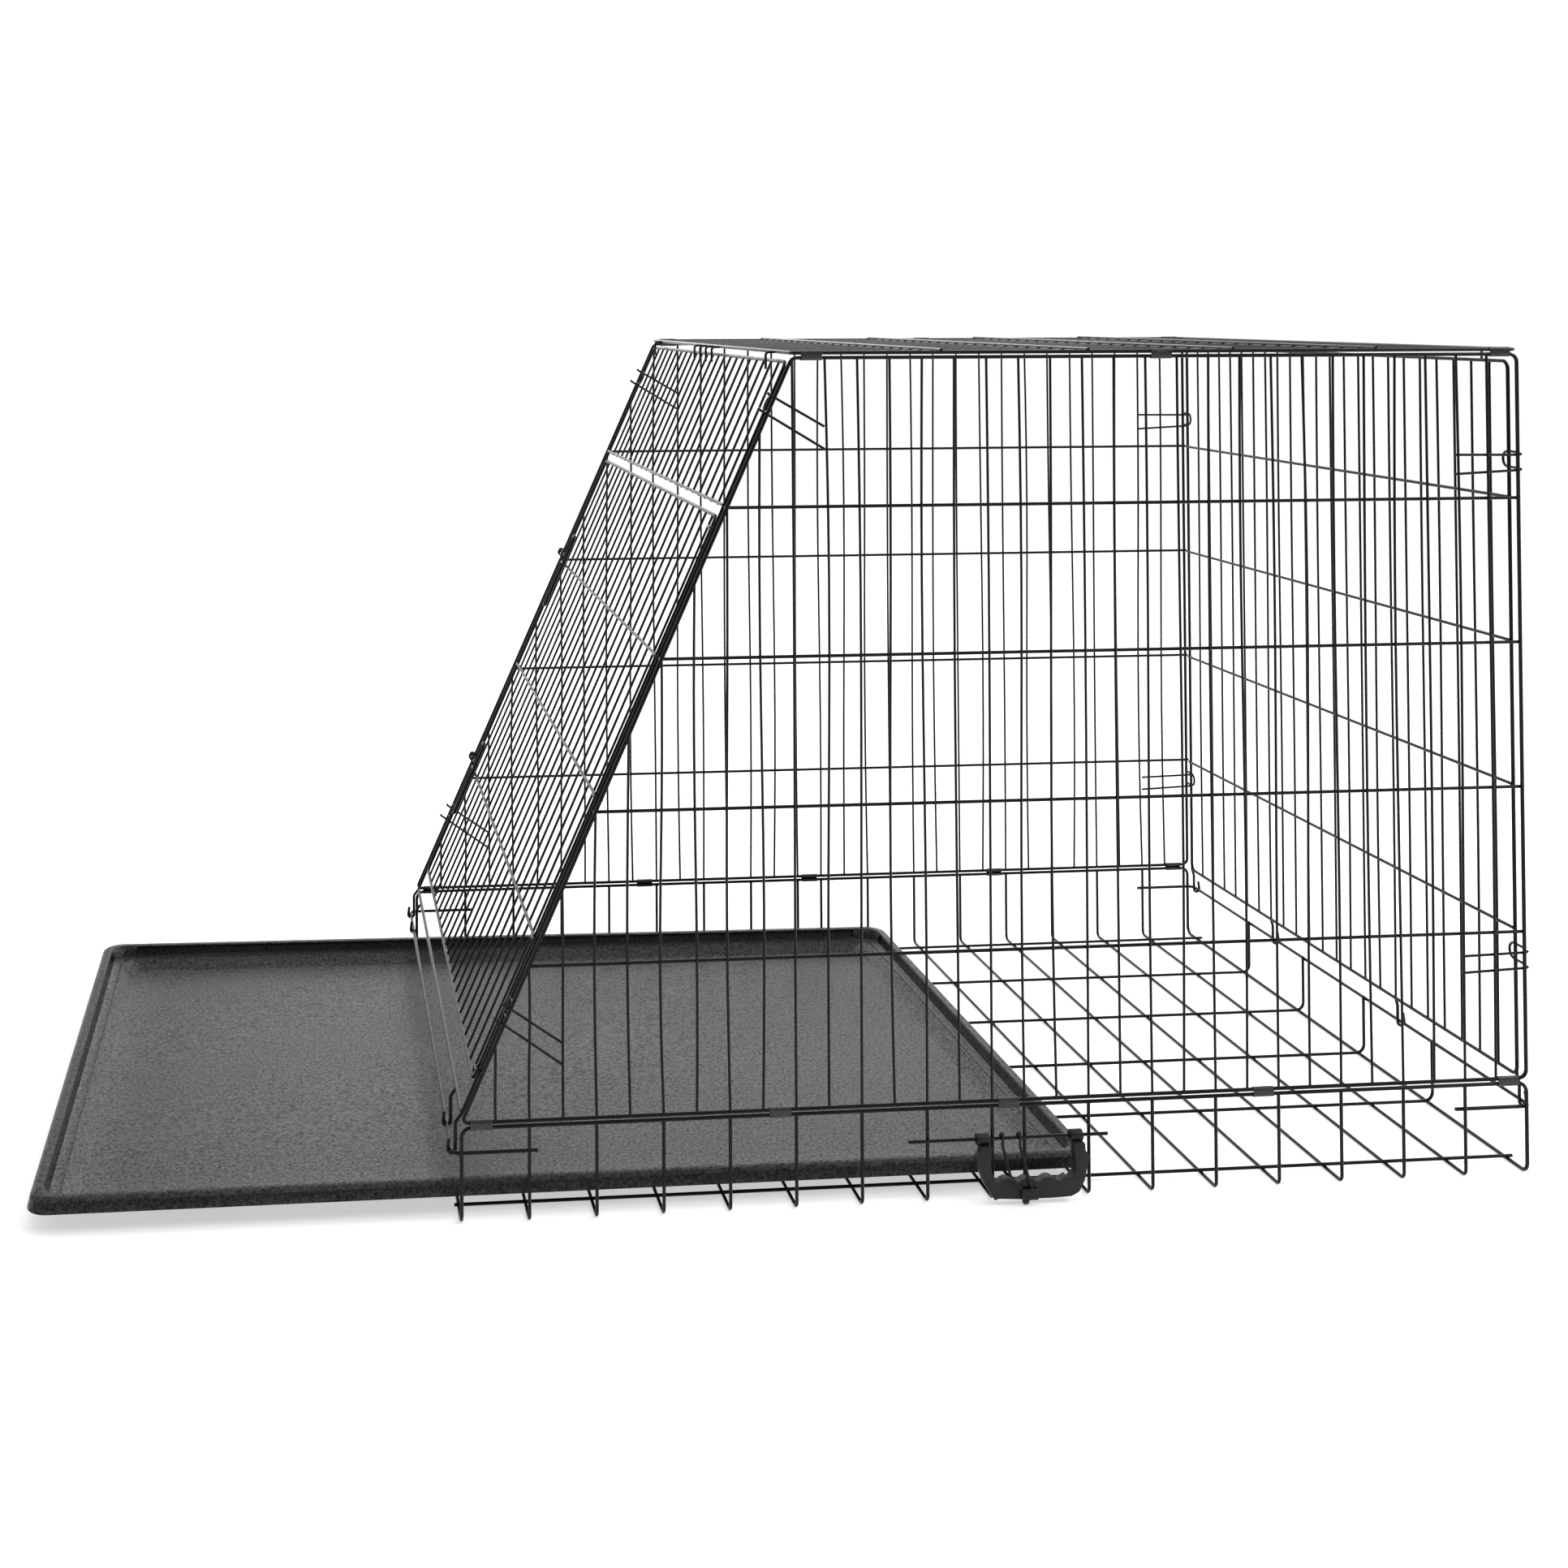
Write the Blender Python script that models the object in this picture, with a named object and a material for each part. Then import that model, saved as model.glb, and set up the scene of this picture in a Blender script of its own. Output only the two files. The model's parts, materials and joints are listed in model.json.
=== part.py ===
# Folding wire travel cage for a dog, with a sloped front, a door in it, a pull-out tray and a carry handle.
# Units are metres. +X runs from the sloped front to the upright back, +Y to the far side and +Z up.
# The tray is drawn part way out of the front. In the cage's own frame x is 0 at the foot of the slope.
from math import atan2, cos, hypot, pi, sin

import bmesh
import bpy
from mathutils import Matrix, Vector

# Size of the cage, between rod centres
cage_length = 0.92
cage_width = 0.64
side_height = 0.623
rim_height = 0.0784

# Spacing of the wires
side_gaps = 33
slope_gaps = 10
end_gaps = 23
bar_gaps = 5
floor_wire_step = 2
lengthways_inset = 0.0275
lengthways_count = 6

# Thickness of the rods, bars and wires, as radii
rod_radius = 0.0019
bar_radius = 0.0015
wire_radius = 0.00115
bolt_radius = 0.002
weld_depth = 0.0004
crossing_gap = 0.0001
clearance = 0.0003
running_gap = 0.0004

# Bends
corner_radius = 0.007
foot_radius = 0.0035
floor_bend_radius = 0.008
hook_radius = 0.004
top_hook_radius = 0.003

# Hinge rods and knuckles of the two end panels
hinge_height = 0.057
front_hinge_reach = 0.0075
back_hinge_reach = 0.0055
hinge_leg = 0.063
knuckle_tip = 0.011
end_inset = 0.0125
front_foot_rise = 0.003
back_foot_drop = 0.0025
front_top_drop = 0.012
back_top_drop = 0.0065

# Door, measured up the slope from its foot
door_foot = 0.029
door_height = 0.507
door_top_gap = 0.011
door_bar_gaps = 4
door_hinge_gap = 0.0095
door_latch_gap = 0.0075

# Slide bolts and their staples
bolt_levels = (3, 1)
bolt_rise = 0.010
bolt_reach = 0.008
bolt_bar_length = 0.039
bolt_loop_height = 0.024
staple_radius = 0.001
bolt_handle_length = 0.060
bolt_handle_width = 0.012

# Loops on the end panels and the hook wires on the sides that hold them
loop_depth = 0.0065
loop_height = 0.018
hook_spacing = 0.011
hook_overhang = 0.005
hook_tick = 0.003
upper_hook_drop = 0.096
lower_hook_height = 0.0965
front_upper_hook_drop = 0.042
front_lower_hook_height = 0.090

# Sheet metal clips round two rods
clip_length = 0.018
clip_thickness = 0.0008
clip_split = 0.0012

# Tray
tray_end_gap = 0.025
tray_side_gap = 0.015
tray_height = 0.022
tray_corner = 0.015
tray_inner_corner = 0.007
tray_sheet = 0.0025
tray_floor = 0.003
tray_lip = 0.0135
tray_lean = 0.002
tray_round = 0.0015
tray_rim = 0.009
tray_slope = 0.003
tray_ledge_height = 0.0112
tray_ledge = 0.005
tray_foot = 0.003
tray_back_x = 0.542

# Carry handle, its wire and its clasp
handle_wire_height = 0.052
handle_wire_start = 0.3735
handle_wire_length = 0.1715
handle_centre = 0.477
handle_width = 0.099
handle_arm = 0.010
handle_belly = 0.0165
handle_heel_width = 0.091
handle_heel = 0.034
handle_foot_width = 0.066
handle_drop = 0.048
handle_thickness = 0.009
handle_foot_bend = 0.005
grip_height = 0.0145
grip_wave = 0.0018
finger_count = 3.5
eye_wall = 0.003
clasp_centre = 0.4607
clasp_width = 0.015
clasp_drop = 0.0435
clasp_lean = 0.0126
clasp_straight = 0.0295
clasp_foot_width = 0.0066
clasp_block_size = Vector((0.014, 0.0040, 0.009))

# Number of flats on each section
rod_sides = 6
bar_sides = 4
floor_wire_sides = 5
clip_bends = 3

# Places that follow from the sizes
pitch = cage_length / side_gaps
end_half = cage_width / 2 - end_inset
end_pitch = 2 * end_half / end_gaps
top_pitch = cage_width / end_gaps
lengthways_gap = (cage_width - 2 * lengthways_inset) / (lengthways_count - 1)
tray_length = cage_length - tray_end_gap
tray_width = cage_width - 2 * tray_side_gap
upper_hook_height = side_height - upper_hook_drop
front_upper_hook_height = side_height - front_upper_hook_drop
slope_run = slope_gaps * pitch
rod_stack = 2 * rod_radius + clearance
side_bottom = rim_height + rod_stack
side_top = side_bottom + side_height
top_height = side_top + rod_stack
slope = atan2(side_height, slope_run)
slope_length = hypot(side_height, slope_run)
rod_flat = rod_radius * cos(pi / rod_sides)
floor_wire_rise = bar_radius * cos(pi / floor_wire_sides)
lengthways_rise = floor_wire_rise + 2 * bar_radius + crossing_gap
tray_rise = lengthways_rise + bar_radius + clearance
wire_offset = rod_flat - wire_radius - crossing_gap
bar_offset = wire_radius + bar_radius + crossing_gap - wire_offset
knuckle_radius = rod_radius + running_gap + bar_radius
front_hinge_x = -front_hinge_reach
back_hinge_x = cage_length + back_hinge_reach
front_top = slope_length - front_top_drop
door_pitch = door_height / door_bar_gaps
door_near = -end_half + door_hinge_gap
door_far = end_half - door_latch_gap
bolt_lift = rod_radius + running_gap + bolt_radius
handle_wire_y = -cage_width / 2 - floor_wire_rise - bar_radius + weld_depth
handle_back = -cage_width / 2 - floor_wire_rise - 2 * clearance
handle_front = handle_back - handle_thickness
clasp_y = handle_front - clearance - wire_radius
clasp_block_y = handle_front - clearance - clasp_block_size.y / 2
clip_inner = (rod_radius + clearance) / cos(pi / (2 * clip_bends))
clip_outer = clip_inner + clip_thickness
x_axis = Vector((1, 0, 0))
y_axis = Vector((0, 1, 0))
z_axis = Vector((0, 0, 1))
slope_up = Vector((cos(slope), 0, sin(slope)))
slope_out = Vector((-sin(slope), 0, cos(slope)))

# The part stands with the middle of its outline over the world origin
front_end = tray_back_x - tray_length
back_end = back_hinge_x + knuckle_radius + bar_radius
near_end = clasp_block_y - clasp_block_size.y / 2
far_end = cage_width / 2 + clip_outer
world_shift = Vector((-(front_end + back_end) / 2, -(near_end + far_end) / 2, 0))


# Point on the sloped front: across the cage, up the slope and out of it
def on_slope(y, up, out=0.0):
    return Vector((0, y, side_bottom)) + slope_up * up + slope_out * out


# Path through the corners, each rounded to its radius
def rounded(corners, radii, closed=False, steps=3):
    path = []
    count = len(corners)
    for i, corner in enumerate(corners):
        radius = radii[i] if isinstance(radii, (list, tuple)) else radii
        is_end = not closed and i in (0, count - 1)
        if is_end or radius == 0:
            path.append(corner.copy())
            continue
        back = (corners[i - 1] - corner).normalized()
        ahead = (corners[(i + 1) % count] - corner).normalized()
        half = back.angle(ahead) / 2
        centre = corner + (back + ahead).normalized() * (radius / sin(half))
        start = corner + back * (radius * cos(half) / sin(half)) - centre
        sweep = pi - 2 * half
        finish = corner + ahead * (radius * cos(half) / sin(half)) - centre
        for step in range(steps + 1):
            share = step / steps
            arm = start * sin((1 - share) * sweep) + finish * sin(share * sweep)
            path.append(centre + arm / sin(sweep))
    return path


# Arc in the XZ plane, from one angle to another in degrees
def arc_xz(centre, radius, first, last, steps):
    angles = [(first + (last - first) * i / steps) * pi / 180 for i in range(steps + 1)]
    return [centre + Vector((radius * cos(a), 0, radius * sin(a))) for a in angles]


# One wire: a path, the direction that its section is square to, its radius and its number of flats
def wire(path, normal, radius, sides=bar_sides, closed=False):
    return {"path": path, "normal": normal, "radius": radius, "sides": sides, "closed": closed}


# Sweep a wire's section along its path with mitred bends
def add_wire(bm, path, normal, radius, sides, closed):
    count = len(path)
    directions = [(path[(i + 1) % count] - path[i]).normalized() for i in range(count)]
    if not closed:
        directions[-1] = directions[-2]
    across = normal.cross(directions[0]).normalized()
    turns = [2 * pi * j / sides for j in range(sides)]
    offsets = [(across * cos(a) + directions[0].cross(across) * sin(a)) * radius for a in turns]
    rings = []
    for i, point in enumerate(path):
        ahead = directions[i]
        behind = directions[i - 1] if i or closed else ahead
        mitre = (behind + ahead).normalized()
        along = behind if i else ahead
        ring = [point + o - along * (o.dot(mitre) / along.dot(mitre)) for o in offsets]
        rings.append([bm.verts.new(corner) for corner in ring])
        if i:
            turn = behind.rotation_difference(ahead)
            offsets = [turn @ o for o in offsets]
    for first, second in zip(rings, rings[1:]):
        for j in range(sides):
            k = (j + 1) % sides
            bm.faces.new((first[j], first[k], second[k], second[j]))
    if closed:
        join_ends(bm, rings, path, sides)
    else:
        bm.faces.new(list(reversed(rings[0])))
        bm.faces.new(rings[-1])


# Close a loop of wire, with its last ring turned to meet its first
def join_ends(bm, rings, path, sides):
    last = rings[-1]
    corner = last[0].co - path[-1]
    gaps = [(rings[0][s].co - path[0] - corner).length for s in range(sides)]
    shift = gaps.index(min(gaps))
    for j in range(sides):
        k = (j + 1) % sides
        bm.faces.new((last[j], last[k], rings[0][(k + shift) % sides], rings[0][(j + shift) % sides]))


# Put a bmesh into a new object in the scene
def new_object(name, bm):
    mesh = bpy.data.meshes.new(name)
    bm.to_mesh(mesh)
    bm.free()
    thing = bpy.data.objects.new(name, mesh)
    bpy.context.scene.collection.objects.link(thing)
    return thing


# Put a group of wires that don't touch each other into one object
def wire_group(name, wires):
    bm = bmesh.new()
    for each in wires:
        add_wire(bm, **each)
    return new_object(name, bm)


# Give an object the shape that its modifiers make
def apply_modifiers(thing):
    bpy.context.view_layer.update()
    shaped = thing.evaluated_get(bpy.context.evaluated_depsgraph_get())
    mesh = bpy.data.meshes.new_from_object(shaped)
    thing.modifiers.clear()
    old = thing.data
    thing.data = mesh
    bpy.data.meshes.remove(old)


# Join helper objects to a body, or cut them from it, and delete them
def combine(body, helpers, operation="UNION"):
    for helper in helpers:
        modifier = body.modifiers.new(operation.lower(), "BOOLEAN")
        modifier.operation = operation
        modifier.solver = "EXACT"
        modifier.object = helper
    apply_modifiers(body)
    for helper in helpers:
        bpy.data.objects.remove(helper)
    return body


# Weld groups of wires into one piece
def weld(name, *groups):
    things = [wire_group(name + "_wires", group) for group in groups]
    body = combine(things[0], things[1:])
    body.name = name
    body.data.name = name
    return body


def paint(thing, colour, roughness, metallic=0.0):
    material = bpy.data.materials.new(thing.name + "_finish")
    material.use_nodes = True
    shader = material.node_tree.nodes["Principled BSDF"]
    shader.inputs["Base Color"].default_value = (*colour, 1.0)
    shader.inputs["Roughness"].default_value = roughness
    shader.inputs["Metallic"].default_value = metallic
    thing.data.materials.clear()
    thing.data.materials.append(material)


def coat_wire(thing):
    paint(thing, (0.012, 0.012, 0.013), 0.32)


def coat_clip(thing):
    paint(thing, (0.035, 0.035, 0.036), 0.45, 0.5)


def colour_plastic(thing):
    paint(thing, (0.030, 0.030, 0.031), 0.55)


# Empty at a joint's axis, or at the middle of the cage
def pivot(name, place, parent=None):
    empty = bpy.data.objects.new(name, None)
    empty.location = place
    empty.parent = parent
    bpy.context.scene.collection.objects.link(empty)
    return empty


# Hang a piece, drawn in the cage's own frame, on the pivot that stands at the given place
def hang(thing, holder, place=Vector((0, 0, 0))):
    thing.data.transform(Matrix.Translation(-place))
    thing.parent = holder


# Floor: a bent frame, U-shaped cross wires, wires lengthways and the two hinge rods
def floor_frame():
    half = cage_width / 2
    corners = []
    for x, sign in ((cage_length, -1), (0.0, 1)):
        ends = [(sign, rim_height), (sign, rod_radius), (-sign, rod_radius), (-sign, rim_height)]
        corners += [Vector((x, side * half, z)) for side, z in ends]
    return wire(rounded(corners, floor_bend_radius, True, 2), x_axis, rod_radius, rod_sides, True)


def floor_wire_numbers():
    middle = side_gaps // 2
    near_front = range(floor_wire_step, middle + 1, floor_wire_step)
    return [*near_front, *[side_gaps - k for k in near_front]]


def floor_cross_wires():
    half = cage_width / 2
    wires = []
    for number in floor_wire_numbers():
        x = number * pitch
        near = [Vector((x, -half, z)) for z in (rim_height, floor_wire_rise)]
        far = [Vector((x, half, z)) for z in (floor_wire_rise, rim_height)]
        path = rounded(near + far, floor_bend_radius, steps=2)
        wires.append(wire(path, x_axis, bar_radius, floor_wire_sides))
    return wires


# The inner wires turn up at the back and carry the back hinge rod, which also stops the tray
def floor_lengthways_wires():
    overhang = 0.004
    upright_x = back_hinge_x - rod_radius - bar_radius + weld_depth
    wires = []
    for i in range(lengthways_count):
        y = (i - (lengthways_count - 1) / 2) * lengthways_gap
        start = Vector((-overhang, y, lengthways_rise))
        if i in (0, lengthways_count - 1):
            path = [start, Vector((cage_length + overhang, y, lengthways_rise))]
        else:
            bend = Vector((upright_x, y, lengthways_rise))
            tip = Vector((upright_x, y, hinge_height + 2 * rod_radius))
            path = rounded([start, bend, tip], floor_bend_radius, steps=2)
        wires.append(wire(path, y_axis, bar_radius))
    return wires


def hinge_rods():
    leg_y = cage_width / 2 - bar_radius - rod_radius + weld_depth
    rods = []
    for rod_x, leg_x in ((front_hinge_x, hinge_leg), (back_hinge_x, cage_length - hinge_leg)):
        corners = [(leg_x, -leg_y), (rod_x, -leg_y), (rod_x, leg_y), (leg_x, leg_y)]
        points = [Vector((x, y, hinge_height)) for x, y in corners]
        rods.append(wire(rounded(points, 2 * knuckle_radius, steps=2), z_axis, rod_radius, rod_sides))
    return rods


def handle_wire():
    start = Vector((handle_wire_start, handle_wire_y, handle_wire_height))
    return wire([start, start + x_axis * handle_wire_length], y_axis, bar_radius)


def make_floor(cage):
    floor = weld(
        "floor_panel",
        [floor_frame()],
        floor_cross_wires(),
        floor_lengthways_wires(),
        hinge_rods(),
        [handle_wire()],
    )
    coat_wire(floor)
    hang(floor, cage)


# Height on the side panel at which a wire at this distance from the front ends
def side_wire_end(x):
    if x < slope_run:
        return side_bottom + x * side_height / slope_run
    return side_top


def side_frame(y):
    low = [Vector((x, y, side_bottom)) for x in (0.0, cage_length)]
    high = [Vector((x, y, side_top)) for x in (cage_length, slope_run)]
    points = low + high
    radii = (foot_radius, corner_radius, corner_radius, corner_radius)
    return wire(rounded(points, radii, True), y_axis, rod_radius, rod_sides, True)


def side_wires(y):
    wires = []
    for number in range(1, side_gaps):
        x = number * pitch
        end = side_wire_end(x) - (wire_radius if number == slope_gaps else 0)
        wires.append(wire([Vector((x, y, side_bottom)), Vector((x, y, end))], y_axis, wire_radius))
    return wires


def side_bars(y):
    bars = []
    for level in range(1, bar_gaps):
        rise = level * side_height / bar_gaps
        start = Vector((rise * slope_run / side_height, y, side_bottom + rise))
        bars.append(wire([start, Vector((cage_length, y, start.z))], y_axis, bar_radius))
    return bars


# Short wires that reach past the frame, with a bent tip, and hold an end panel's loop between them
def hook_wire(inner, edge, outward, lift):
    tip = edge + outward * hook_overhang
    return wire([inner, tip, tip + (outward + lift).normalized() * hook_tick], y_axis, bar_radius)


def side_hook_wires(y):
    wires = []
    for side in (-1, 1):
        for rise in (lower_hook_height, upper_hook_height):
            edge = Vector((cage_length, y, side_bottom + rise + side * hook_spacing / 2))
            wires.append(hook_wire(edge - x_axis * 2 * pitch, edge, x_axis, z_axis * side))
        for rise in (front_lower_hook_height, front_upper_hook_height):
            up = rise / sin(slope) + side * hook_spacing / 2
            edge = on_slope(y, up)
            inner = edge - slope_out * (1.75 * pitch)
            wires.append(hook_wire(inner, edge, slope_out, slope_up * side))
    return wires


def make_side(name, cage, sign):
    plane = sign * cage_width / 2
    outer = plane + sign * wire_offset
    inner = plane - sign * bar_offset
    side = weld(name, [side_frame(plane)], side_bars(inner) + side_hook_wires(inner), side_wires(outer))
    coat_wire(side)
    hang(side, cage)


# Front panel: frame, short grille over the doorway, knuckles, locking loops and bolt staples
def front_frame():
    corners = [
        (-end_half, front_foot_rise),
        (end_half, front_foot_rise),
        (end_half, front_top),
        (-end_half, front_top),
    ]
    points = [on_slope(y, up) for y, up in corners]
    return wire(rounded(points, corner_radius, True), slope_out, rod_radius, rod_sides, True)


def end_wire_places():
    return [-end_half + i * end_pitch for i in range(1, end_gaps)]


def front_cross_bar():
    up = door_foot + door_height + door_top_gap
    out = wire_offset - wire_radius - bar_radius + weld_depth
    return wire([on_slope(-end_half, up, out), on_slope(end_half, up, out)], slope_out, bar_radius)


def front_grille_wires():
    low = door_foot + door_height + door_top_gap - 1.5 * bar_radius
    return [
        wire([on_slope(y, low, wire_offset), on_slope(y, front_top, wire_offset)], slope_out, wire_radius)
        for y in end_wire_places()
    ]


# The outermost knuckles start a hair inside the panel's side rods, which carry them
def knuckle_y(number):
    inset = {0: clearance, end_gaps: -clearance}.get(number, 0.0)
    return -end_half + number * end_pitch + inset


# Wire that leaves an end panel's foot, drops beside the hinge rod and curls up round it
def knuckle(start, hinge_x, outward):
    foot = start[-1]
    leg_x = hinge_x - outward * knuckle_radius
    centre = Vector((hinge_x, foot.y, hinge_height))
    first = 180 if outward > 0 else 0
    last = 360 if outward > 0 else -180
    bend = Vector((leg_x, foot.y, foot.z - 2 * knuckle_radius))
    curl = arc_xz(centre, knuckle_radius, first, last, 6)
    tip = curl[-1] + z_axis * knuckle_tip
    return wire([*start, bend, *curl, tip], y_axis, bar_radius)


def front_knuckles():
    curls = []
    for number in (0, 2, end_gaps - 2, end_gaps):
        y = knuckle_y(number)
        start = [on_slope(y, front_foot_rise)]
        if number in (0, end_gaps):
            start.insert(0, on_slope(y, front_foot_rise + 1.5 * corner_radius))
        curls.append(knuckle(start, front_hinge_x, -1))
    return curls


# U-shaped loop beside an end panel's rod, in the panel's own plane
def locking_loop(middle, upward, sideways, normal):
    half = upward * loop_height / 2
    out = sideways * loop_depth
    corners = [middle - half, middle - half + out, middle + half + out, middle + half]
    return wire(rounded(corners, hook_radius / 2, steps=2), normal, wire_radius)


def front_loops():
    rises = (front_lower_hook_height, front_upper_hook_height)
    return [
        locking_loop(on_slope(sign * end_half, rise / sin(slope)), slope_up, y_axis * sign, slope_out)
        for sign in (-1, 1)
        for rise in rises
    ]


# Staple over a slide bolt, with both feet on one wire
def staple(y, up):
    half = bolt_radius + running_gap + staple_radius
    top = bolt_lift + half
    corners = [(-half, 0.0), (-half, top), (half, top), (half, 0.0)]
    points = [on_slope(y, up + along, out) for along, out in corners]
    return wire(rounded(points, hook_radius / 2, steps=2), y_axis, staple_radius)


def bolt_heights():
    return [door_foot + level * door_pitch + bolt_rise for level in bolt_levels]


def make_front(holder, place):
    front = weld(
        "front_panel",
        [front_frame()],
        [front_cross_bar()],
        front_grille_wires(),
        front_knuckles(),
        front_loops() + [staple(end_half, up) for up in bolt_heights()],
    )
    coat_wire(front)
    hang(front, holder, place)


# Door: frame, grille, loops round the front panel's near rod and the staples of its two bolts
def door_frame():
    top = door_foot + door_height
    corners = [(door_near, door_foot), (door_far, door_foot), (door_far, top), (door_near, top)]
    points = [on_slope(y, up) for y, up in corners]
    return wire(rounded(points, corner_radius, True), slope_out, rod_radius, rod_sides, True)


def door_wires():
    top = door_foot + door_height
    return [
        wire([on_slope(y, door_foot, wire_offset), on_slope(y, top, wire_offset)], slope_out, wire_radius)
        for y in end_wire_places()
    ]


def door_bars():
    bars = []
    for level in range(1, door_bar_gaps):
        up = door_foot + level * door_pitch
        ends = [on_slope(y, up, -bar_offset) for y in (door_near, door_far)]
        bars.append(wire(ends, slope_out, bar_radius))
    return bars


def door_hinge_loops():
    loops = []
    for level in range(door_bar_gaps + 1):
        inset = {0: 1.5 * corner_radius, door_bar_gaps: -1.5 * corner_radius}.get(level, 0.0)
        up = door_foot + level * door_pitch + inset
        path = [on_slope(door_near + rod_radius, up, rod_flat + bar_radius - weld_depth)]
        for step in range(8):
            angle = pi / 2 + step * pi / 6
            path.append(on_slope(-end_half + knuckle_radius * cos(angle), up, knuckle_radius * sin(angle)))
        loops.append(wire(path, slope_up, bar_radius))
    return loops


def make_door(holder, place):
    last_wire = end_half - end_pitch
    staples = [staple(y, up) for up in bolt_heights() for y in (last_wire, door_far)]
    door = weld("door", [door_frame()], door_bars(), door_wires(), door_hinge_loops(), staples)
    coat_wire(door)
    hang(door, holder, place)


# Slide bolt: a bar along the door, a loop above it and a narrow loop below it as its handle
def make_bolt(name, up, holder, place):
    tip = end_half + bolt_reach
    inner = tip - bolt_bar_length
    low = up - bolt_handle_length
    high = up + bolt_loop_height
    corners = [
        (tip, up),
        (inner, up),
        (inner, high),
        (inner - bolt_handle_width, high),
        (inner - 2 * bolt_handle_width / 3, low),
        (inner - bolt_handle_width / 3, low),
        (inner, up - 3 * bolt_radius - hook_radius),
    ]
    points = [on_slope(y, height, bolt_lift) for y, height in corners]
    tight = bolt_handle_width / 8
    radii = (0, hook_radius, hook_radius, hook_radius, tight, tight, 0)
    path = rounded(points, radii, steps=2)
    bolt = wire_group(name, [wire(path, slope_out, bolt_radius, rod_sides)])
    coat_wire(bolt)
    hang(bolt, holder, place)


# Back panel
def back_frame():
    low = side_bottom - back_foot_drop
    high = side_top - back_top_drop
    corners = [(-end_half, low), (end_half, low), (end_half, high), (-end_half, high)]
    points = [Vector((cage_length, y, z)) for y, z in corners]
    return wire(rounded(points, corner_radius, True), x_axis, rod_radius, rod_sides, True)


def back_wires():
    x = cage_length + wire_offset
    low = side_bottom - back_foot_drop
    high = side_top - back_top_drop
    ends = [(Vector((x, y, low)), Vector((x, y, high))) for y in end_wire_places()]
    return [wire(pair, x_axis, wire_radius) for pair in ends]


def back_bars():
    x = cage_length - bar_offset
    heights = [side_bottom + level * side_height / bar_gaps for level in range(1, bar_gaps)]
    return [
        wire([Vector((x, -end_half, z)), Vector((x, end_half, z))], x_axis, bar_radius)
        for z in heights
    ]


def back_knuckles():
    low = side_bottom - back_foot_drop
    curls = []
    for number in (0, 7, end_gaps - 7, end_gaps):
        foot = Vector((cage_length, knuckle_y(number), low))
        start = [foot]
        if number in (0, end_gaps):
            start.insert(0, foot + z_axis * 1.5 * corner_radius)
        curls.append(knuckle(start, back_hinge_x, 1))
    return curls


def back_loops():
    loops = []
    for sign in (-1, 1):
        for rise in (lower_hook_height, upper_hook_height):
            middle = Vector((cage_length, sign * end_half, side_bottom + rise))
            loops.append(locking_loop(middle, z_axis, y_axis * sign, x_axis))
    return loops


def make_back(holder, place):
    back = weld("back_panel", [back_frame()], back_bars(), back_wires(), back_knuckles(), back_loops())
    coat_wire(back)
    hang(back, holder, place)


# Top panel, with hooks that come down outside the end panels' top rods
def top_frame():
    half = cage_width / 2
    corners = [(slope_run, -half), (cage_length, -half), (cage_length, half), (slope_run, half)]
    points = [Vector((x, y, top_height)) for x, y in corners]
    return wire(rounded(points, corner_radius, True), z_axis, rod_radius, rod_sides, True)


def top_wires():
    reach = rod_radius + 2 * running_gap + wire_radius
    front_rod = on_slope(0, front_top)
    back_rod_z = side_top - back_top_drop
    middle = end_gaps // 2
    front_hooks = (2, middle - 1, middle, middle + 1, middle + 2, end_gaps - 2)
    back_hooks = (2, middle, middle + 2, end_gaps - 2)
    z = top_height - wire_offset
    wires = []
    for number in range(1, end_gaps):
        y = -cage_width / 2 + number * top_pitch
        front = [Vector((slope_run, y, z))]
        back = [Vector((cage_length, y, z))]
        if number in front_hooks:
            leg = front_rod.x - reach
            front = [Vector((leg, y, front_rod.z)), Vector((leg, y, z))]
        if number in back_hooks:
            leg = cage_length + reach
            back = [Vector((leg, y, z)), Vector((leg, y, back_rod_z))]
        wires.append(wire(rounded(front + back, top_hook_radius, steps=2), y_axis, wire_radius))
    return wires


def top_bars():
    z = top_height + bar_offset
    half = cage_width / 2
    step = (cage_length - slope_run) / bar_gaps
    places = [slope_run + i * step for i in range(1, bar_gaps)]
    return [wire([Vector((x, -half, z)), Vector((x, half, z))], z_axis, bar_radius) for x in places]


def make_top(cage):
    top = weld("top_panel", [top_frame()], top_bars(), top_wires())
    coat_wire(top)
    hang(top, cage)


# Outline of a clip round two stacked rods, at one distance from their centres, from one lip to the other
def clip_outline(radius):
    half_stack = rod_stack / 2
    outline = []
    for sign in (1, -1):
        first = 180 if sign > 0 else 0
        for step in range(clip_bends + 1):
            angle = (first - 180 * step / clip_bends) * pi / 180
            outline.append(Vector((radius * cos(angle), sign * half_stack + radius * sin(angle))))
    return [Vector((-radius, clip_split)), *outline, Vector((-radius, -clip_split))]


def make_clip(name, cage, x, sign, height):
    outline = clip_outline(clip_outer) + list(reversed(clip_outline(clip_inner)))
    bm = bmesh.new()
    corners = [
        bm.verts.new((x - clip_length / 2, sign * (cage_width / 2 + point.x), height + point.y))
        for point in outline
    ]
    face = bm.faces.new(corners)
    grown = bmesh.ops.extrude_face_region(bm, geom=[face])
    moved = [item for item in grown["geom"] if isinstance(item, bmesh.types.BMVert)]
    bmesh.ops.translate(bm, vec=x_axis * clip_length, verts=moved)
    bmesh.ops.recalc_face_normals(bm, faces=bm.faces)
    clip = new_object(name, bm)
    coat_clip(clip)
    hang(clip, cage)


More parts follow.
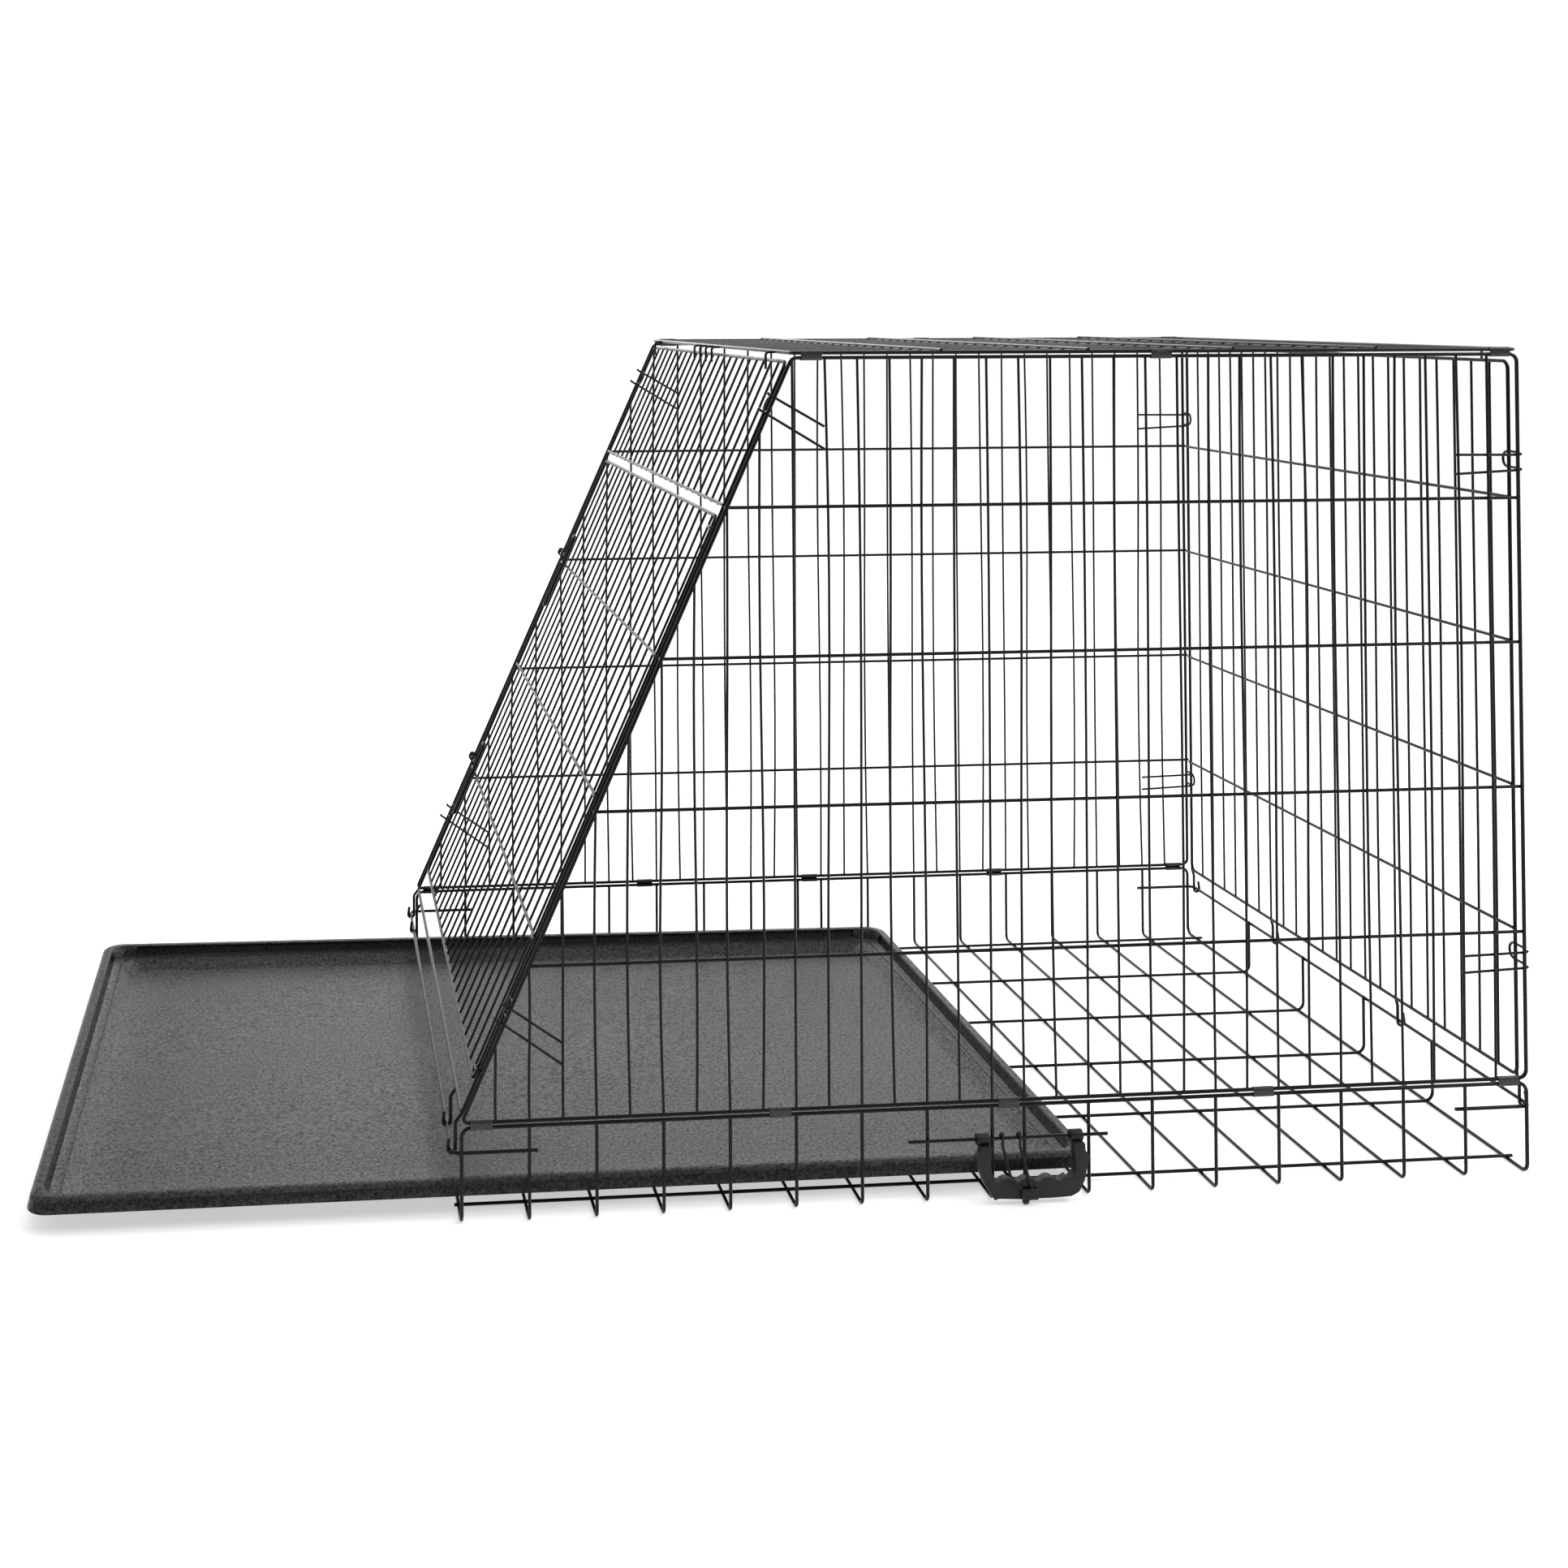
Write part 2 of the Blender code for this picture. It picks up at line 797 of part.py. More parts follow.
def make_clips(cage):
    from_corner = corner_radius + clearance + clip_length / 2
    low = [
        foot_radius * 2 + clearance + clip_length / 2,
        9.5 * pitch,
        16.5 * pitch,
        24.5 * pitch,
        cage_length - from_corner - floor_bend_radius + corner_radius,
    ]
    high = [slope_run + from_corner, 21.5 * pitch, cage_length - from_corner]
    for side, sign in (("near", -1), ("far", 1)):
        for i, x in enumerate(low):
            make_clip(f"{side}_bottom_clip_{i + 1}", cage, x, sign, rim_height + rod_stack / 2)
        for i, x in enumerate(high):
            make_clip(f"{side}_top_clip_{i + 1}", cage, x, sign, side_top + rod_stack / 2)


# Rounded rectangle, counted round from the same corner for every ring
def tray_ring(bm, inset, z, steps=3):
    half_x = tray_length / 2 - inset
    half_y = tray_width / 2 - inset
    corners = [(-half_x, -half_y), (half_x, -half_y), (half_x, half_y), (-half_x, half_y)]
    points = [Vector((x, y, z)) for x, y in corners]
    radius = max(tray_corner - inset, tray_inner_corner)
    return [bm.verts.new(point) for point in rounded(points, radius, True, steps)]


# Section of the tray's edge as distance inwards and height: under the floor, up under the rim to the lip,
# over the rim, down to the ledge and down to the floor
def tray_section():
    half_round = tray_round / 2
    ledge_start = tray_rim + tray_slope
    ledge_end = ledge_start + tray_ledge
    floor_start = ledge_end + tray_foot
    lip_bottom = tray_height - tray_lip
    under = [
        (floor_start - tray_sheet, 0.0),
        (ledge_end - tray_sheet, tray_ledge_height - tray_sheet),
        (ledge_start - tray_sheet, tray_ledge_height - tray_sheet),
        (tray_rim - tray_sheet, tray_height - tray_sheet),
        (tray_lean + tray_sheet, tray_height - tray_sheet),
        (tray_sheet, lip_bottom),
    ]
    lip = [(0.0, lip_bottom), (tray_lean, tray_height - tray_round), (tray_lean + tray_round, tray_height)]
    wall = [
        (tray_rim, tray_height),
        (tray_rim + half_round, tray_height - half_round),
        (ledge_start, tray_ledge_height),
    ]
    foot = [
        (ledge_end, tray_ledge_height),
        (floor_start, tray_floor + tray_round),
        (floor_start + tray_round, tray_floor),
    ]
    return under + lip + wall + foot


# Moulded tray of one sheet: lip, rim, a ledge inside the wall and the floor
def make_tray(holder, place):
    bm = bmesh.new()
    rings = [tray_ring(bm, inset, z) for inset, z in tray_section()]
    for first, second in zip(rings, rings[1:]):
        count = len(first)
        for i in range(count):
            j = (i + 1) % count
            bm.faces.new((first[i], first[j], second[j], second[i]))
    bm.faces.new(list(reversed(rings[0])))
    bm.faces.new(rings[-1])
    middle = Vector((tray_back_x - tray_length / 2, 0, tray_rise))
    bmesh.ops.translate(bm, vec=middle, verts=bm.verts)
    bmesh.ops.recalc_face_normals(bm, faces=bm.faces)
    tray = new_object("tray", bm)
    colour_plastic(tray)
    hang(tray, holder, place)


# Handle outline seen from the near side: two arms that taper down to a grip with hollows for the fingers
def handle_outline():
    half = handle_width / 2
    inner = half - handle_arm
    top = handle_wire_height - bar_radius - running_gap - eye_wall / 2
    bottom = handle_wire_height - handle_drop
    grip_top = bottom + grip_height
    grip_end = inner - handle_foot_bend
    right = [
        (handle_foot_width / 2, bottom, handle_foot_bend),
        (handle_heel_width / 2, handle_wire_height - handle_heel, handle_foot_bend),
        (half, handle_wire_height - handle_belly, handle_foot_bend),
        (half, top, 0),
        (inner, top, 0),
        (inner, grip_top + grip_wave, handle_foot_bend / 2),
        (grip_end, grip_top, 0),
    ]
    waves = []
    steps = round(6 * finger_count)
    for i in range(1, steps):
        share = i / steps
        lift = grip_wave * (1 - cos(2 * pi * finger_count * share))
        waves.append((grip_end * (1 - 2 * share), grip_top + lift, 0))
    left = [(-x, z, bend) for x, z, bend in reversed(right)]
    corners = right + waves + left
    points = [Vector((x, z, 0)) for x, z, bend in corners]
    return rounded(points, [bend for x, z, bend in corners], True, steps=2)


# Eye at the top of an arm, round the handle wire
def eye_ring(x, radius, width):
    bm = bmesh.new()
    bmesh.ops.create_cone(bm, cap_ends=True, segments=10, radius1=radius, radius2=radius, depth=width)
    turn = Matrix.Rotation(pi / 2, 4, "Y")
    place = Matrix.Translation((x, handle_wire_y, handle_wire_height))
    bmesh.ops.transform(bm, matrix=place @ turn, verts=bm.verts)
    return new_object("eye", bm)


def make_handle(holder, place):
    bm = bmesh.new()
    face = bm.faces.new([bm.verts.new((handle_centre + p.x, handle_front, p.y)) for p in handle_outline()])
    grown = bmesh.ops.extrude_face_region(bm, geom=[face])
    moved = [item for item in grown["geom"] if isinstance(item, bmesh.types.BMVert)]
    bmesh.ops.translate(bm, vec=y_axis * handle_thickness, verts=moved)
    bmesh.ops.recalc_face_normals(bm, faces=bm.faces)
    handle = new_object("handle", bm)
    edge = handle.modifiers.new("edge", "BEVEL")
    edge.width = grip_wave / 2
    edge.segments = 1
    edge.angle_limit = pi / 3
    bore = bar_radius + running_gap
    places = [handle_centre + sign * (handle_width - handle_arm) / 2 for sign in (-1, 1)]
    combine(handle, [eye_ring(x, bore + eye_wall, handle_arm + 2 * clearance) for x in places])
    combine(handle, [eye_ring(x, bore, 2 * handle_arm) for x in places], "DIFFERENCE")
    colour_plastic(handle)
    hang(handle, holder, place)


# Wire clasp: two hooks over the handle wire, a loop in front of the grip and a small block on it
def make_clasp(holder, place):
    radius = bar_radius + running_gap + wire_radius
    low = handle_wire_height - clasp_drop
    step_z = handle_wire_height - 3 * radius
    centre = Vector((0, handle_wire_y, handle_wire_height))
    half = []
    for step in range(7):
        angle = -pi / 4 + step * 5 * pi / 24
        half.append(centre + Vector((0, radius * cos(angle), radius * sin(angle))))
    half.append(Vector((0, handle_wire_y - radius, step_z)))
    half.append(Vector((0, clasp_y, step_z - 2 * radius)))
    half.append(Vector((0, clasp_y, handle_wire_height - clasp_straight)))
    block_x = clasp_centre + clasp_lean
    left = [point + x_axis * (clasp_centre - clasp_width / 2) for point in half]
    right = [point + x_axis * (clasp_centre + clasp_width / 2) for point in reversed(half)]
    feet = [Vector((block_x + side * clasp_foot_width / 2, clasp_y, low)) for side in (-1, 1)]
    bends = [0] * len(half)
    path = rounded(left + feet + right, bends + [2 * wire_radius] * 2 + bends)
    clasp = wire_group("handle_clasp", [wire(path, x_axis, wire_radius)])
    bm = bmesh.new()
    block_place = Matrix.Translation((block_x, clasp_block_y, low + wire_radius))
    bmesh.ops.create_cube(bm, size=1.0, matrix=block_place @ Matrix.Diagonal((*clasp_block_size, 1)))
    combine(clasp, [new_object("block", bm)])
    coat_wire(clasp)
    hang(clasp, holder, place)


def main():
    for thing in list(bpy.data.objects):
        bpy.data.objects.remove(thing)
    cage = pivot("cage", world_shift)
    make_floor(cage)
    make_side("near_side_panel", cage, -1)
    make_side("far_side_panel", cage, 1)
    make_top(cage)
    make_clips(cage)

    front_place = Vector((front_hinge_x, 0, hinge_height))
    front_pivot = pivot("front_pivot", front_place, cage)
    make_front(front_pivot, front_place)
    door_place = on_slope(-end_half, door_foot)
    door_pivot = pivot("door_pivot", door_place - front_place, front_pivot)
    make_door(door_pivot, door_place)
    for name, up in zip(("upper_bolt", "lower_bolt"), bolt_heights()):
        make_bolt(name, up, door_pivot, door_place)

    back_place = Vector((back_hinge_x, 0, hinge_height))
    make_back(pivot("back_pivot", back_place, cage), back_place)

    tray_place = Vector((tray_back_x, 0, tray_rise))
    make_tray(pivot("tray_pivot", tray_place, cage), tray_place)

    handle_place = Vector((handle_centre, handle_wire_y, handle_wire_height))
    handle_pivot = pivot("handle_pivot", handle_place, cage)
    make_handle(handle_pivot, handle_place)
    make_clasp(handle_pivot, handle_place)


main()
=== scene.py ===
# Sloped travel cage for a dog: round lacquered wires, folded clips, moulded tray, carry handle, pale studio
import json
import random
from math import cos, degrees, hypot, pi, radians, sin, tan

import bmesh
import bpy
from mathutils import Matrix, Vector


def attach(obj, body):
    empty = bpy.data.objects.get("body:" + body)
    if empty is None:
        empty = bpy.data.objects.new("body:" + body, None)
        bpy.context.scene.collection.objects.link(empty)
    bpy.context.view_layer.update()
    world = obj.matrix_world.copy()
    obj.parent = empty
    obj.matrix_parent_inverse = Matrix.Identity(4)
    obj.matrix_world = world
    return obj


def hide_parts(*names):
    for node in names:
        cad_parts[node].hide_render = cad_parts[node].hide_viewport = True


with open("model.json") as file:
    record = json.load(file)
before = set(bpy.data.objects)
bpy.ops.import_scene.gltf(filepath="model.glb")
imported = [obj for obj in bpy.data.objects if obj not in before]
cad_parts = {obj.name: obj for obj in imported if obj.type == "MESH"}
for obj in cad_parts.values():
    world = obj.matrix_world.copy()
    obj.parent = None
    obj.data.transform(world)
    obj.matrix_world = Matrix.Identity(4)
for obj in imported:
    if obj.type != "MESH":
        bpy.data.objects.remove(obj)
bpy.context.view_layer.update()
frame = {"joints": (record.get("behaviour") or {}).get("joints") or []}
random.seed(7)

# Grid of the cage in its own frame, in metres: x from the foot of the slope, y across, z up
cage = {
    "length": 0.92,
    "width": 0.64,
    "sideBottom": 0.0825,
    "sideTop": 0.7055,
    "topHeight": 0.7096,
    "rimHeight": 0.0784,
    "sideGaps": 33,
    "slopeGaps": 10,
    "endGaps": 23,
    "barGaps": 5,
    "endHalf": 0.3075,
    "hingeHeight": 0.057,
    "frontHingeX": -0.0075,
    "backHingeX": 0.9255,
}

# Three gauges of wire with the sides that draw them round, and the weld beads on each
rodRadius, rodSides, rodBead = 0.0016, 12, 0.0016
barRadius, barSides, barBead = 0.00145, 10, 0.0013
wireRadius, wireSides, wireBead = 0.00115, 8, 0.0012
weldDepth = 0.0003
wireOut = 0.0004            # grille wires stand this far outside the plane of their frame rods
barIn = wireRadius + barRadius - weldDepth - wireOut
knuckleGap = 0.0004
knuckleRadius = rodRadius + knuckleGap + barRadius
fullTurn = 0.98             # a round turn takes this share of the room it has
sharpTurn = 1.0             # edges that turn more than this, in radians, are rounded
tiny = 1e-6

half = cage["width"] / 2
pitch = cage["length"] / cage["sideGaps"]
sideHeight = cage["sideTop"] - cage["sideBottom"]
sideBars = [cage["sideBottom"] + level * sideHeight / cage["barGaps"] for level in range(1, cage["barGaps"])]
slopeRun = cage["slopeGaps"] * pitch
slopeUp = Vector((slopeRun, 0, sideHeight)) / hypot(slopeRun, sideHeight)
slopeOut = Vector((-slopeUp.z, 0, slopeUp.x))
endHalf = cage["endHalf"]
endPitch = 2 * endHalf / cage["endGaps"]
grilleAt = [-endHalf + number * endPitch for number in range(1, cage["endGaps"])]
xAxis, yAxis, zAxis = Vector((1, 0, 0)), Vector((0, 1, 0)), Vector((0, 0, 1))

# The front panel's hinge ties the cage's own frame to the world
frontHinge = [joint for joint in frame["joints"] if joint["name"] == "front_panel_fold"][0]
cageAt = Vector(frontHinge["pos_m"]) - Vector((cage["frontHingeX"], 0, cage["hingeHeight"]))


def onSlope(y, up, out=0.0):
    return Vector((0, y, cage["sideBottom"])) + slopeUp * up + slopeOut * out


# Node helpers: each value knows the node tree it stands in
def startMaterial(name):
    material = bpy.data.materials.new(name)
    material.use_nodes = True
    where = material.node_tree.nodes.new("ShaderNodeTexCoord")
    return material, material.node_tree.nodes["Principled BSDF"], where.outputs["Object"]


def feed(value, socket):
    value.id_data.links.new(value, socket)


def noiseAt(where, scale, detail=3.0, rough=0.5):
    noise = where.id_data.nodes.new("ShaderNodeTexNoise")
    noise.inputs["Scale"].default_value = scale
    noise.inputs["Detail"].default_value = detail
    noise.inputs["Roughness"].default_value = rough
    feed(where, noise.inputs["Vector"])
    return noise.outputs["Fac"]


def rampOf(value, stops):
    ramp = value.id_data.nodes.new("ShaderNodeValToRGB")
    for element, (place, colour) in zip(ramp.color_ramp.elements, stops):
        element.position, element.color = place, (*colour, 1)
    feed(value, ramp.inputs["Fac"])
    return ramp.outputs["Color"]


def rangeOf(value, low, high, fromLow=0.3, fromHigh=0.7):
    spread = value.id_data.nodes.new("ShaderNodeMapRange")
    spread.inputs["From Min"].default_value = fromLow
    spread.inputs["From Max"].default_value = fromHigh
    spread.inputs["To Min"].default_value = low
    spread.inputs["To Max"].default_value = high
    feed(value, spread.inputs["Value"])
    return spread.outputs["Result"]


# The last bump laid on a shader is the one it shows, so each is given the bump under it
def bumpOf(shader, height, strength, distance, under=None):
    bump = shader.id_data.nodes.new("ShaderNodeBump")
    bump.inputs["Strength"].default_value = strength
    bump.inputs["Distance"].default_value = distance
    feed(height, bump.inputs["Height"])
    if under:
        feed(under, bump.inputs["Normal"])
    feed(bump.outputs["Normal"], shader.inputs["Normal"])
    return bump.outputs["Normal"]


# Thin dipped coat on drawn wire: orange peel, drips of thicker coat, a few dull patches
lacquerLook = {
    "tintScale": 26,
    "tints": [(0.3, (0.002, 0.002, 0.003)), (0.7, (0.006, 0.0055, 0.0055))],
    "dullScale": 90,
    "roughness": (0.13, 0.3),
    "dripScale": 240,
    "drips": (0.35, 0.0003),
    "peelScale": 1500,
    "peel": (0.12, 0.0001),
    "specular": 0.17,
}


def blackLacquer():
    look = lacquerLook
    material, shader, where = startMaterial("blackLacquer")
    feed(rampOf(noiseAt(where, look["tintScale"], 2), look["tints"]), shader.inputs["Base Color"])
    dull = noiseAt(where, look["dullScale"], 4, 0.6)
    feed(rangeOf(dull, *look["roughness"]), shader.inputs["Roughness"])
    drips = bumpOf(shader, noiseAt(where, look["dripScale"], 2), *look["drips"])
    bumpOf(shader, noiseAt(where, look["peelScale"], 2), *look["peel"], drips)
    shader.inputs["Specular IOR Level"].default_value = look["specular"]
    return material


# Black-finished sheet steel, brushed lengthways by the press tool
clipLook = {
    "stretch": (0.12, 1.0, 1.0),
    "brushScale": 1400,
    "tints": [(0.35, (0.016, 0.016, 0.015)), (0.75, (0.06, 0.058, 0.053))],
    "roughness": (0.3, 0.52),
    "metallic": 0.5,
    "scratches": (0.4, 0.0002),
}


def clipSteel():
    look = clipLook
    material, shader, where = startMaterial("clipSteel")
    stretch = material.node_tree.nodes.new("ShaderNodeMapping")
    stretch.inputs["Scale"].default_value = look["stretch"]
    feed(where, stretch.inputs["Vector"])
    brushed = noiseAt(stretch.outputs["Vector"], look["brushScale"], 3)
    feed(rampOf(brushed, look["tints"]), shader.inputs["Base Color"])
    feed(rangeOf(brushed, *look["roughness"]), shader.inputs["Roughness"])
    shader.inputs["Metallic"].default_value = look["metallic"]
    bumpOf(shader, brushed, *look["scratches"])
    return material


# Vacuum formed sheet: leather-like grain, cloudy gloss, pale dust in the grain
trayLook = {
    "cloudScale": 9,
    "clouds": [(0.3, (0.009, 0.009, 0.0088)), (0.7, (0.017, 0.017, 0.0162))],
    "speckScale": 800,
    "dust": [(0.40, (0.4, 0.4, 0.4)), (0.60, (1.9, 1.9, 1.83))],
    "roughness": (0.22, 0.52, 0.35, 0.65),
    "wornScale": 330,
    "worn": (0.05, 0.42, 0.38, 0.62),
    "grainScale": 620,
    "grain": (0.6, 0.0003),
    "waveScale": 30,
    "waves": (0.12, 0.002),
}


def trayPlastic():
    look = trayLook
    material, shader, where = startMaterial("trayPlastic")
    nodes = material.node_tree.nodes
    clouds = rampOf(noiseAt(where, look["cloudScale"], 4, 0.6), look["clouds"])
    speck = noiseAt(where, look["speckScale"], 4, 0.65)
    dusted = nodes.new("ShaderNodeMix")
    dusted.data_type = "RGBA"
    dusted.blend_type = "MULTIPLY"
    dusted.inputs["Factor"].default_value = 1.0
    feed(clouds, dusted.inputs["A"])
    feed(rampOf(speck, look["dust"]), dusted.inputs["B"])
    feed(dusted.outputs["Result"], shader.inputs["Base Color"])
    feed(rangeOf(speck, *look["roughness"]), shader.inputs["Roughness"])
    worn = noiseAt(where, look["wornScale"], 4, 0.7)
    feed(rangeOf(worn, *look["worn"]), shader.inputs["Specular IOR Level"])
    grain = nodes.new("ShaderNodeTexVoronoi")
    grain.inputs["Scale"].default_value = look["grainScale"]
    feed(where, grain.inputs["Vector"])
    pebbles = bumpOf(shader, grain.outputs["Distance"], *look["grain"])
    bumpOf(shader, noiseAt(where, look["waveScale"], 2), *look["waves"], pebbles)
    return material


# Injection moulded, spark-eroded matt, its tone and gloss varying in soft patches
handleLook = {
    "cloudScale": 60,
    "clouds": [(0.3, (0.009, 0.009, 0.0095)), (0.7, (0.017, 0.017, 0.0175))],
    "roughness": (0.38, 0.55),
    "specular": 0.25,
    "mattScale": 1900,
    "matt": (0.25, 0.0001),
}


def handlePlastic():
    look = handleLook
    material, shader, where = startMaterial("handlePlastic")
    cloud = noiseAt(where, look["cloudScale"], 3)
    feed(rampOf(cloud, look["clouds"]), shader.inputs["Base Color"])
    feed(rangeOf(cloud, *look["roughness"]), shader.inputs["Roughness"])
    shader.inputs["Specular IOR Level"].default_value = look["specular"]
    bumpOf(shader, noiseAt(where, look["mattScale"], 3), *look["matt"])
    return material


lacquer, clipFinish, trayFinish, handleFinish = blackLacquer(), clipSteel(), trayPlastic(), handlePlastic()
print("mixed the lacquer, the clips' steel and both plastics")


# What an operator hands back, sorted by kind
def vertsIn(items):
    return [item for item in items if isinstance(item, bmesh.types.BMVert)]


def edgesIn(items):
    return [item for item in items if isinstance(item, bmesh.types.BMEdge)]


def facesIn(items):
    return [item for item in items if isinstance(item, bmesh.types.BMFace)]


bending = {
    "radius": 0.006,
    "degreesPerStep": 15,
    "straight": 0.002,          # a turn smaller than this, in radians, is left straight
    "shortest": 1e-7,
    "swaySteps": 10,
}


# Pull the end of a wire further along
def grow(wire, face, reach):
    if reach.length < bending["shortest"]:
        return face
    grown = bmesh.ops.extrude_face_region(wire, geom=[face])["geom"]
    bmesh.ops.translate(wire, vec=reach, verts=vertsIn(grown))
    return facesIn(grown)[0]


def startWire(at, ahead, radius, sides):
    wire = bmesh.new()
    turned = Matrix.Translation(at) @ ahead.to_track_quat("Z", "Y").to_matrix().to_4x4()
    bmesh.ops.create_circle(wire, cap_ends=True, segments=sides, radius=radius, matrix=turned)
    wire.faces.ensure_lookup_table()
    return wire, wire.faces[0]


# One wire through its corners, each bent to a radius as on a bending jig
def bentWire(corners, radius, bend=bending["radius"], sides=barSides, closed=False):
    points = [Vector(corner) for corner in corners]
    bends = list(bend) if isinstance(bend, (list, tuple)) else [bend] * len(points)
    if closed:
        middle = (points[-1] + points[0]) / 2
        points, bends = [middle, *points, middle], [0, *bends, 0]
    here, ahead = points[0], (points[1] - points[0]).normalized()
    wire, face = startWire(here, ahead, radius, sides)
    for corner, after, bendRadius in zip(points[1:], points[2:], bends[1:]):
        following = (after - corner).normalized()
        angle = ahead.angle(following)
        if angle < bending["straight"]:
            continue
        trim = bendRadius * tan(angle / 2)
        axis = ahead.cross(following).normalized()
        face = grow(wire, face, corner - ahead * trim - here)
        centre = corner - ahead * trim + axis.cross(ahead) * bendRadius
        steps = max(2, round(degrees(angle) / bending["degreesPerStep"]))
        spun = bmesh.ops.spin(wire, geom=[face], cent=centre, axis=axis, angle=angle, steps=steps)
        face = facesIn(spun["geom_last"])[0]
        here, ahead = corner + following * trim, following
    grow(wire, face, points[-1] - here)
    if closed:
        ends = [each for each in wire.faces if len(each.verts) == sides]
        bmesh.ops.delete(wire, geom=ends, context="FACES_ONLY")
        bmesh.ops.remove_doubles(wire, verts=wire.verts, dist=radius / 20)
    return wire


# A long thin wire that isn't quite straight, as drawn wire never is
def swayingWire(start, end, sway):
    first, second = random.uniform(-1, 1), random.uniform(-0.6, 0.6)
    wire, face = startWire(start, (end - start).normalized(), wireRadius, wireSides)
    here = start
    for step in range(1, bending["swaySteps"] + 1):
        share = step / bending["swaySteps"]
        there = start.lerp(end, share) + sway * (first * sin(pi * share) + second * sin(2 * pi * share))
        face = grow(wire, face, there - here)
        here = there
    return wire


# Squeezed-out bead where two wires are resistance welded
def weldBead(piece, at, radius):
    bmesh.ops.create_icosphere(piece, subdivisions=1, radius=radius, matrix=Matrix.Translation(at))


def addWire(piece, wire):
    carrier = bpy.data.meshes.new("carrier")
    wire.to_mesh(carrier)
    wire.free()
    piece.from_mesh(carrier)
    bpy.data.meshes.remove(carrier)


def addRodLoop(piece, corners, bend):
    addWire(piece, bentWire(corners, rodRadius, bend, rodSides, True))


def addBar(piece, start, end):
    addWire(piece, bentWire([start, end], barRadius))


# Hand a finished piece to the body that carries it
def finishPiece(name, piece, body, finish, nodes, sharp=50):
    bmesh.ops.translate(piece, vec=cageAt, verts=piece.verts)
    bmesh.ops.recalc_face_normals(piece, faces=piece.faces)
    mesh = bpy.data.meshes.new(name)
    piece.to_mesh(mesh)
    piece.free()
    mesh.polygons.foreach_set("use_smooth", [True] * len(mesh.polygons))
    mesh.set_sharp_from_angle(angle=radians(sharp))
    mesh.materials.append(finish)
    thing = bpy.data.objects.new(name, mesh)
    bpy.context.scene.collection.objects.link(thing)
    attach(thing, body)
    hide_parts(*nodes)
    print("made", name, len(mesh.polygons), "faces")
    return thing


def finishWires(name, piece, body, nodes):
    return finishPiece(name, piece, body, lacquer, nodes)


floorBasket = {
    "bend": 0.008,
    "wireBend": 0.005,
    "wireStep": 2,
    "lengthwaysCount": 6,
    "lengthwaysInset": 0.0275,
    "overhang": 0.004,
    "hingeLeg": 0.063,
    "handleWireStart": 0.3735,
    "handleWireLength": 0.1715,
    "handleWireAt": (-0.3223135, 0.052),
}


def makeFloor():
    piece = bmesh.new()
    length, rim, bend = cage["length"], cage["rimHeight"], floorBasket["bend"]
    corners = []
    for x, sign in ((length, -1), (0.0, 1)):
        corners += [(x, sign * half, rim), (x, sign * half, rodRadius)]
        corners += [(x, -sign * half, rodRadius), (x, -sign * half, rim)]
    addRodLoop(piece, corners, bend)

    # wires across, welded to the rim at both ends and to the wires lengthways
    nearFront = range(floorBasket["wireStep"], cage["sideGaps"] // 2 + 1, floorBasket["wireStep"])
    rows = floorBasket["lengthwaysCount"]
    gap = (cage["width"] - 2 * floorBasket["lengthwaysInset"]) / (rows - 1)
    rowsAt = [(row - (rows - 1) / 2) * gap for row in range(rows)]
    low = barRadius
    for number in [*nearFront, *[cage["sideGaps"] - number for number in nearFront]]:
        x = number * pitch
        corners = [(x, -half, rim), (x, -half, low), (x, half, low), (x, half, rim)]
        addWire(piece, bentWire(corners, barRadius, floorBasket["wireBend"]))
        for side in (-1, 1):
            weldBead(piece, (x, side * half, rim - rodRadius / 2), rodBead)
        for y in rowsAt:
            weldBead(piece, (x, y, low + barRadius), barBead)

    # wires lengthways: the inner ones turn up to the back hinge rod
    z = low + 2 * barRadius - weldDepth
    uprightX = cage["backHingeX"] - rodRadius - barRadius + weldDepth
    for row, y in enumerate(rowsAt):
        start = (-floorBasket["overhang"], y, z)
        if row in (0, rows - 1):
            addBar(piece, start, (length + floorBasket["overhang"], y, z))
        else:
            top = (uprightX, y, cage["hingeHeight"] + 2 * rodRadius)
            addWire(piece, bentWire([start, (uprightX, y, z), top], barRadius, bend))
            weldBead(piece, (uprightX + barRadius, y, cage["hingeHeight"]), rodBead)

    # hinge rods, with a leg along each side
    z, legY, leg = cage["hingeHeight"], half - barRadius - rodRadius + weldDepth, floorBasket["hingeLeg"]
    for rodX, legX in ((cage["frontHingeX"], leg), (cage["backHingeX"], length - leg)):
        corners = [(legX, -legY, z), (rodX, -legY, z), (rodX, legY, z), (legX, legY, z)]
        addWire(piece, bentWire(corners, rodRadius, 2 * knuckleRadius))

    start = Vector((floorBasket["handleWireStart"], *floorBasket["handleWireAt"]))
    addBar(piece, start, start + xAxis * floorBasket["handleWireLength"])
    finishWires("floorBasket", piece, "cage", ["floor_panel"])


makeFloor()


# Each hook wire: the upright it starts from, its height there, and its tip's x and z
sidePanel = {
    "footBend": 0.0035,
    "cornerBend": 0.007,
    "hookTick": 0.0018,
    "hookBend": 0.002,
    "hooks": [
        (31, 0.6185, (0.9231, 0.6180)),
        (31, 0.6019, (0.9231, 0.6048)),
        (31, 0.1875, (0.9231, 0.1890)),
        (31, 0.1733, (0.9231, 0.1757)),
        (11, 0.6479, (0.2594, 0.6752)),
        (11, 0.6291, (0.2514, 0.6624)),
        (3, 0.1436, (0.0355, 0.1766)),
        (3, 0.1261, (0.0281, 0.1652)),
    ],
    "sway": 0.0021,
    "swayHeight": 0.3,          # shorter uprights sway less
    "barOverhang": 0.0018,
    "beadClear": 0.004,
}


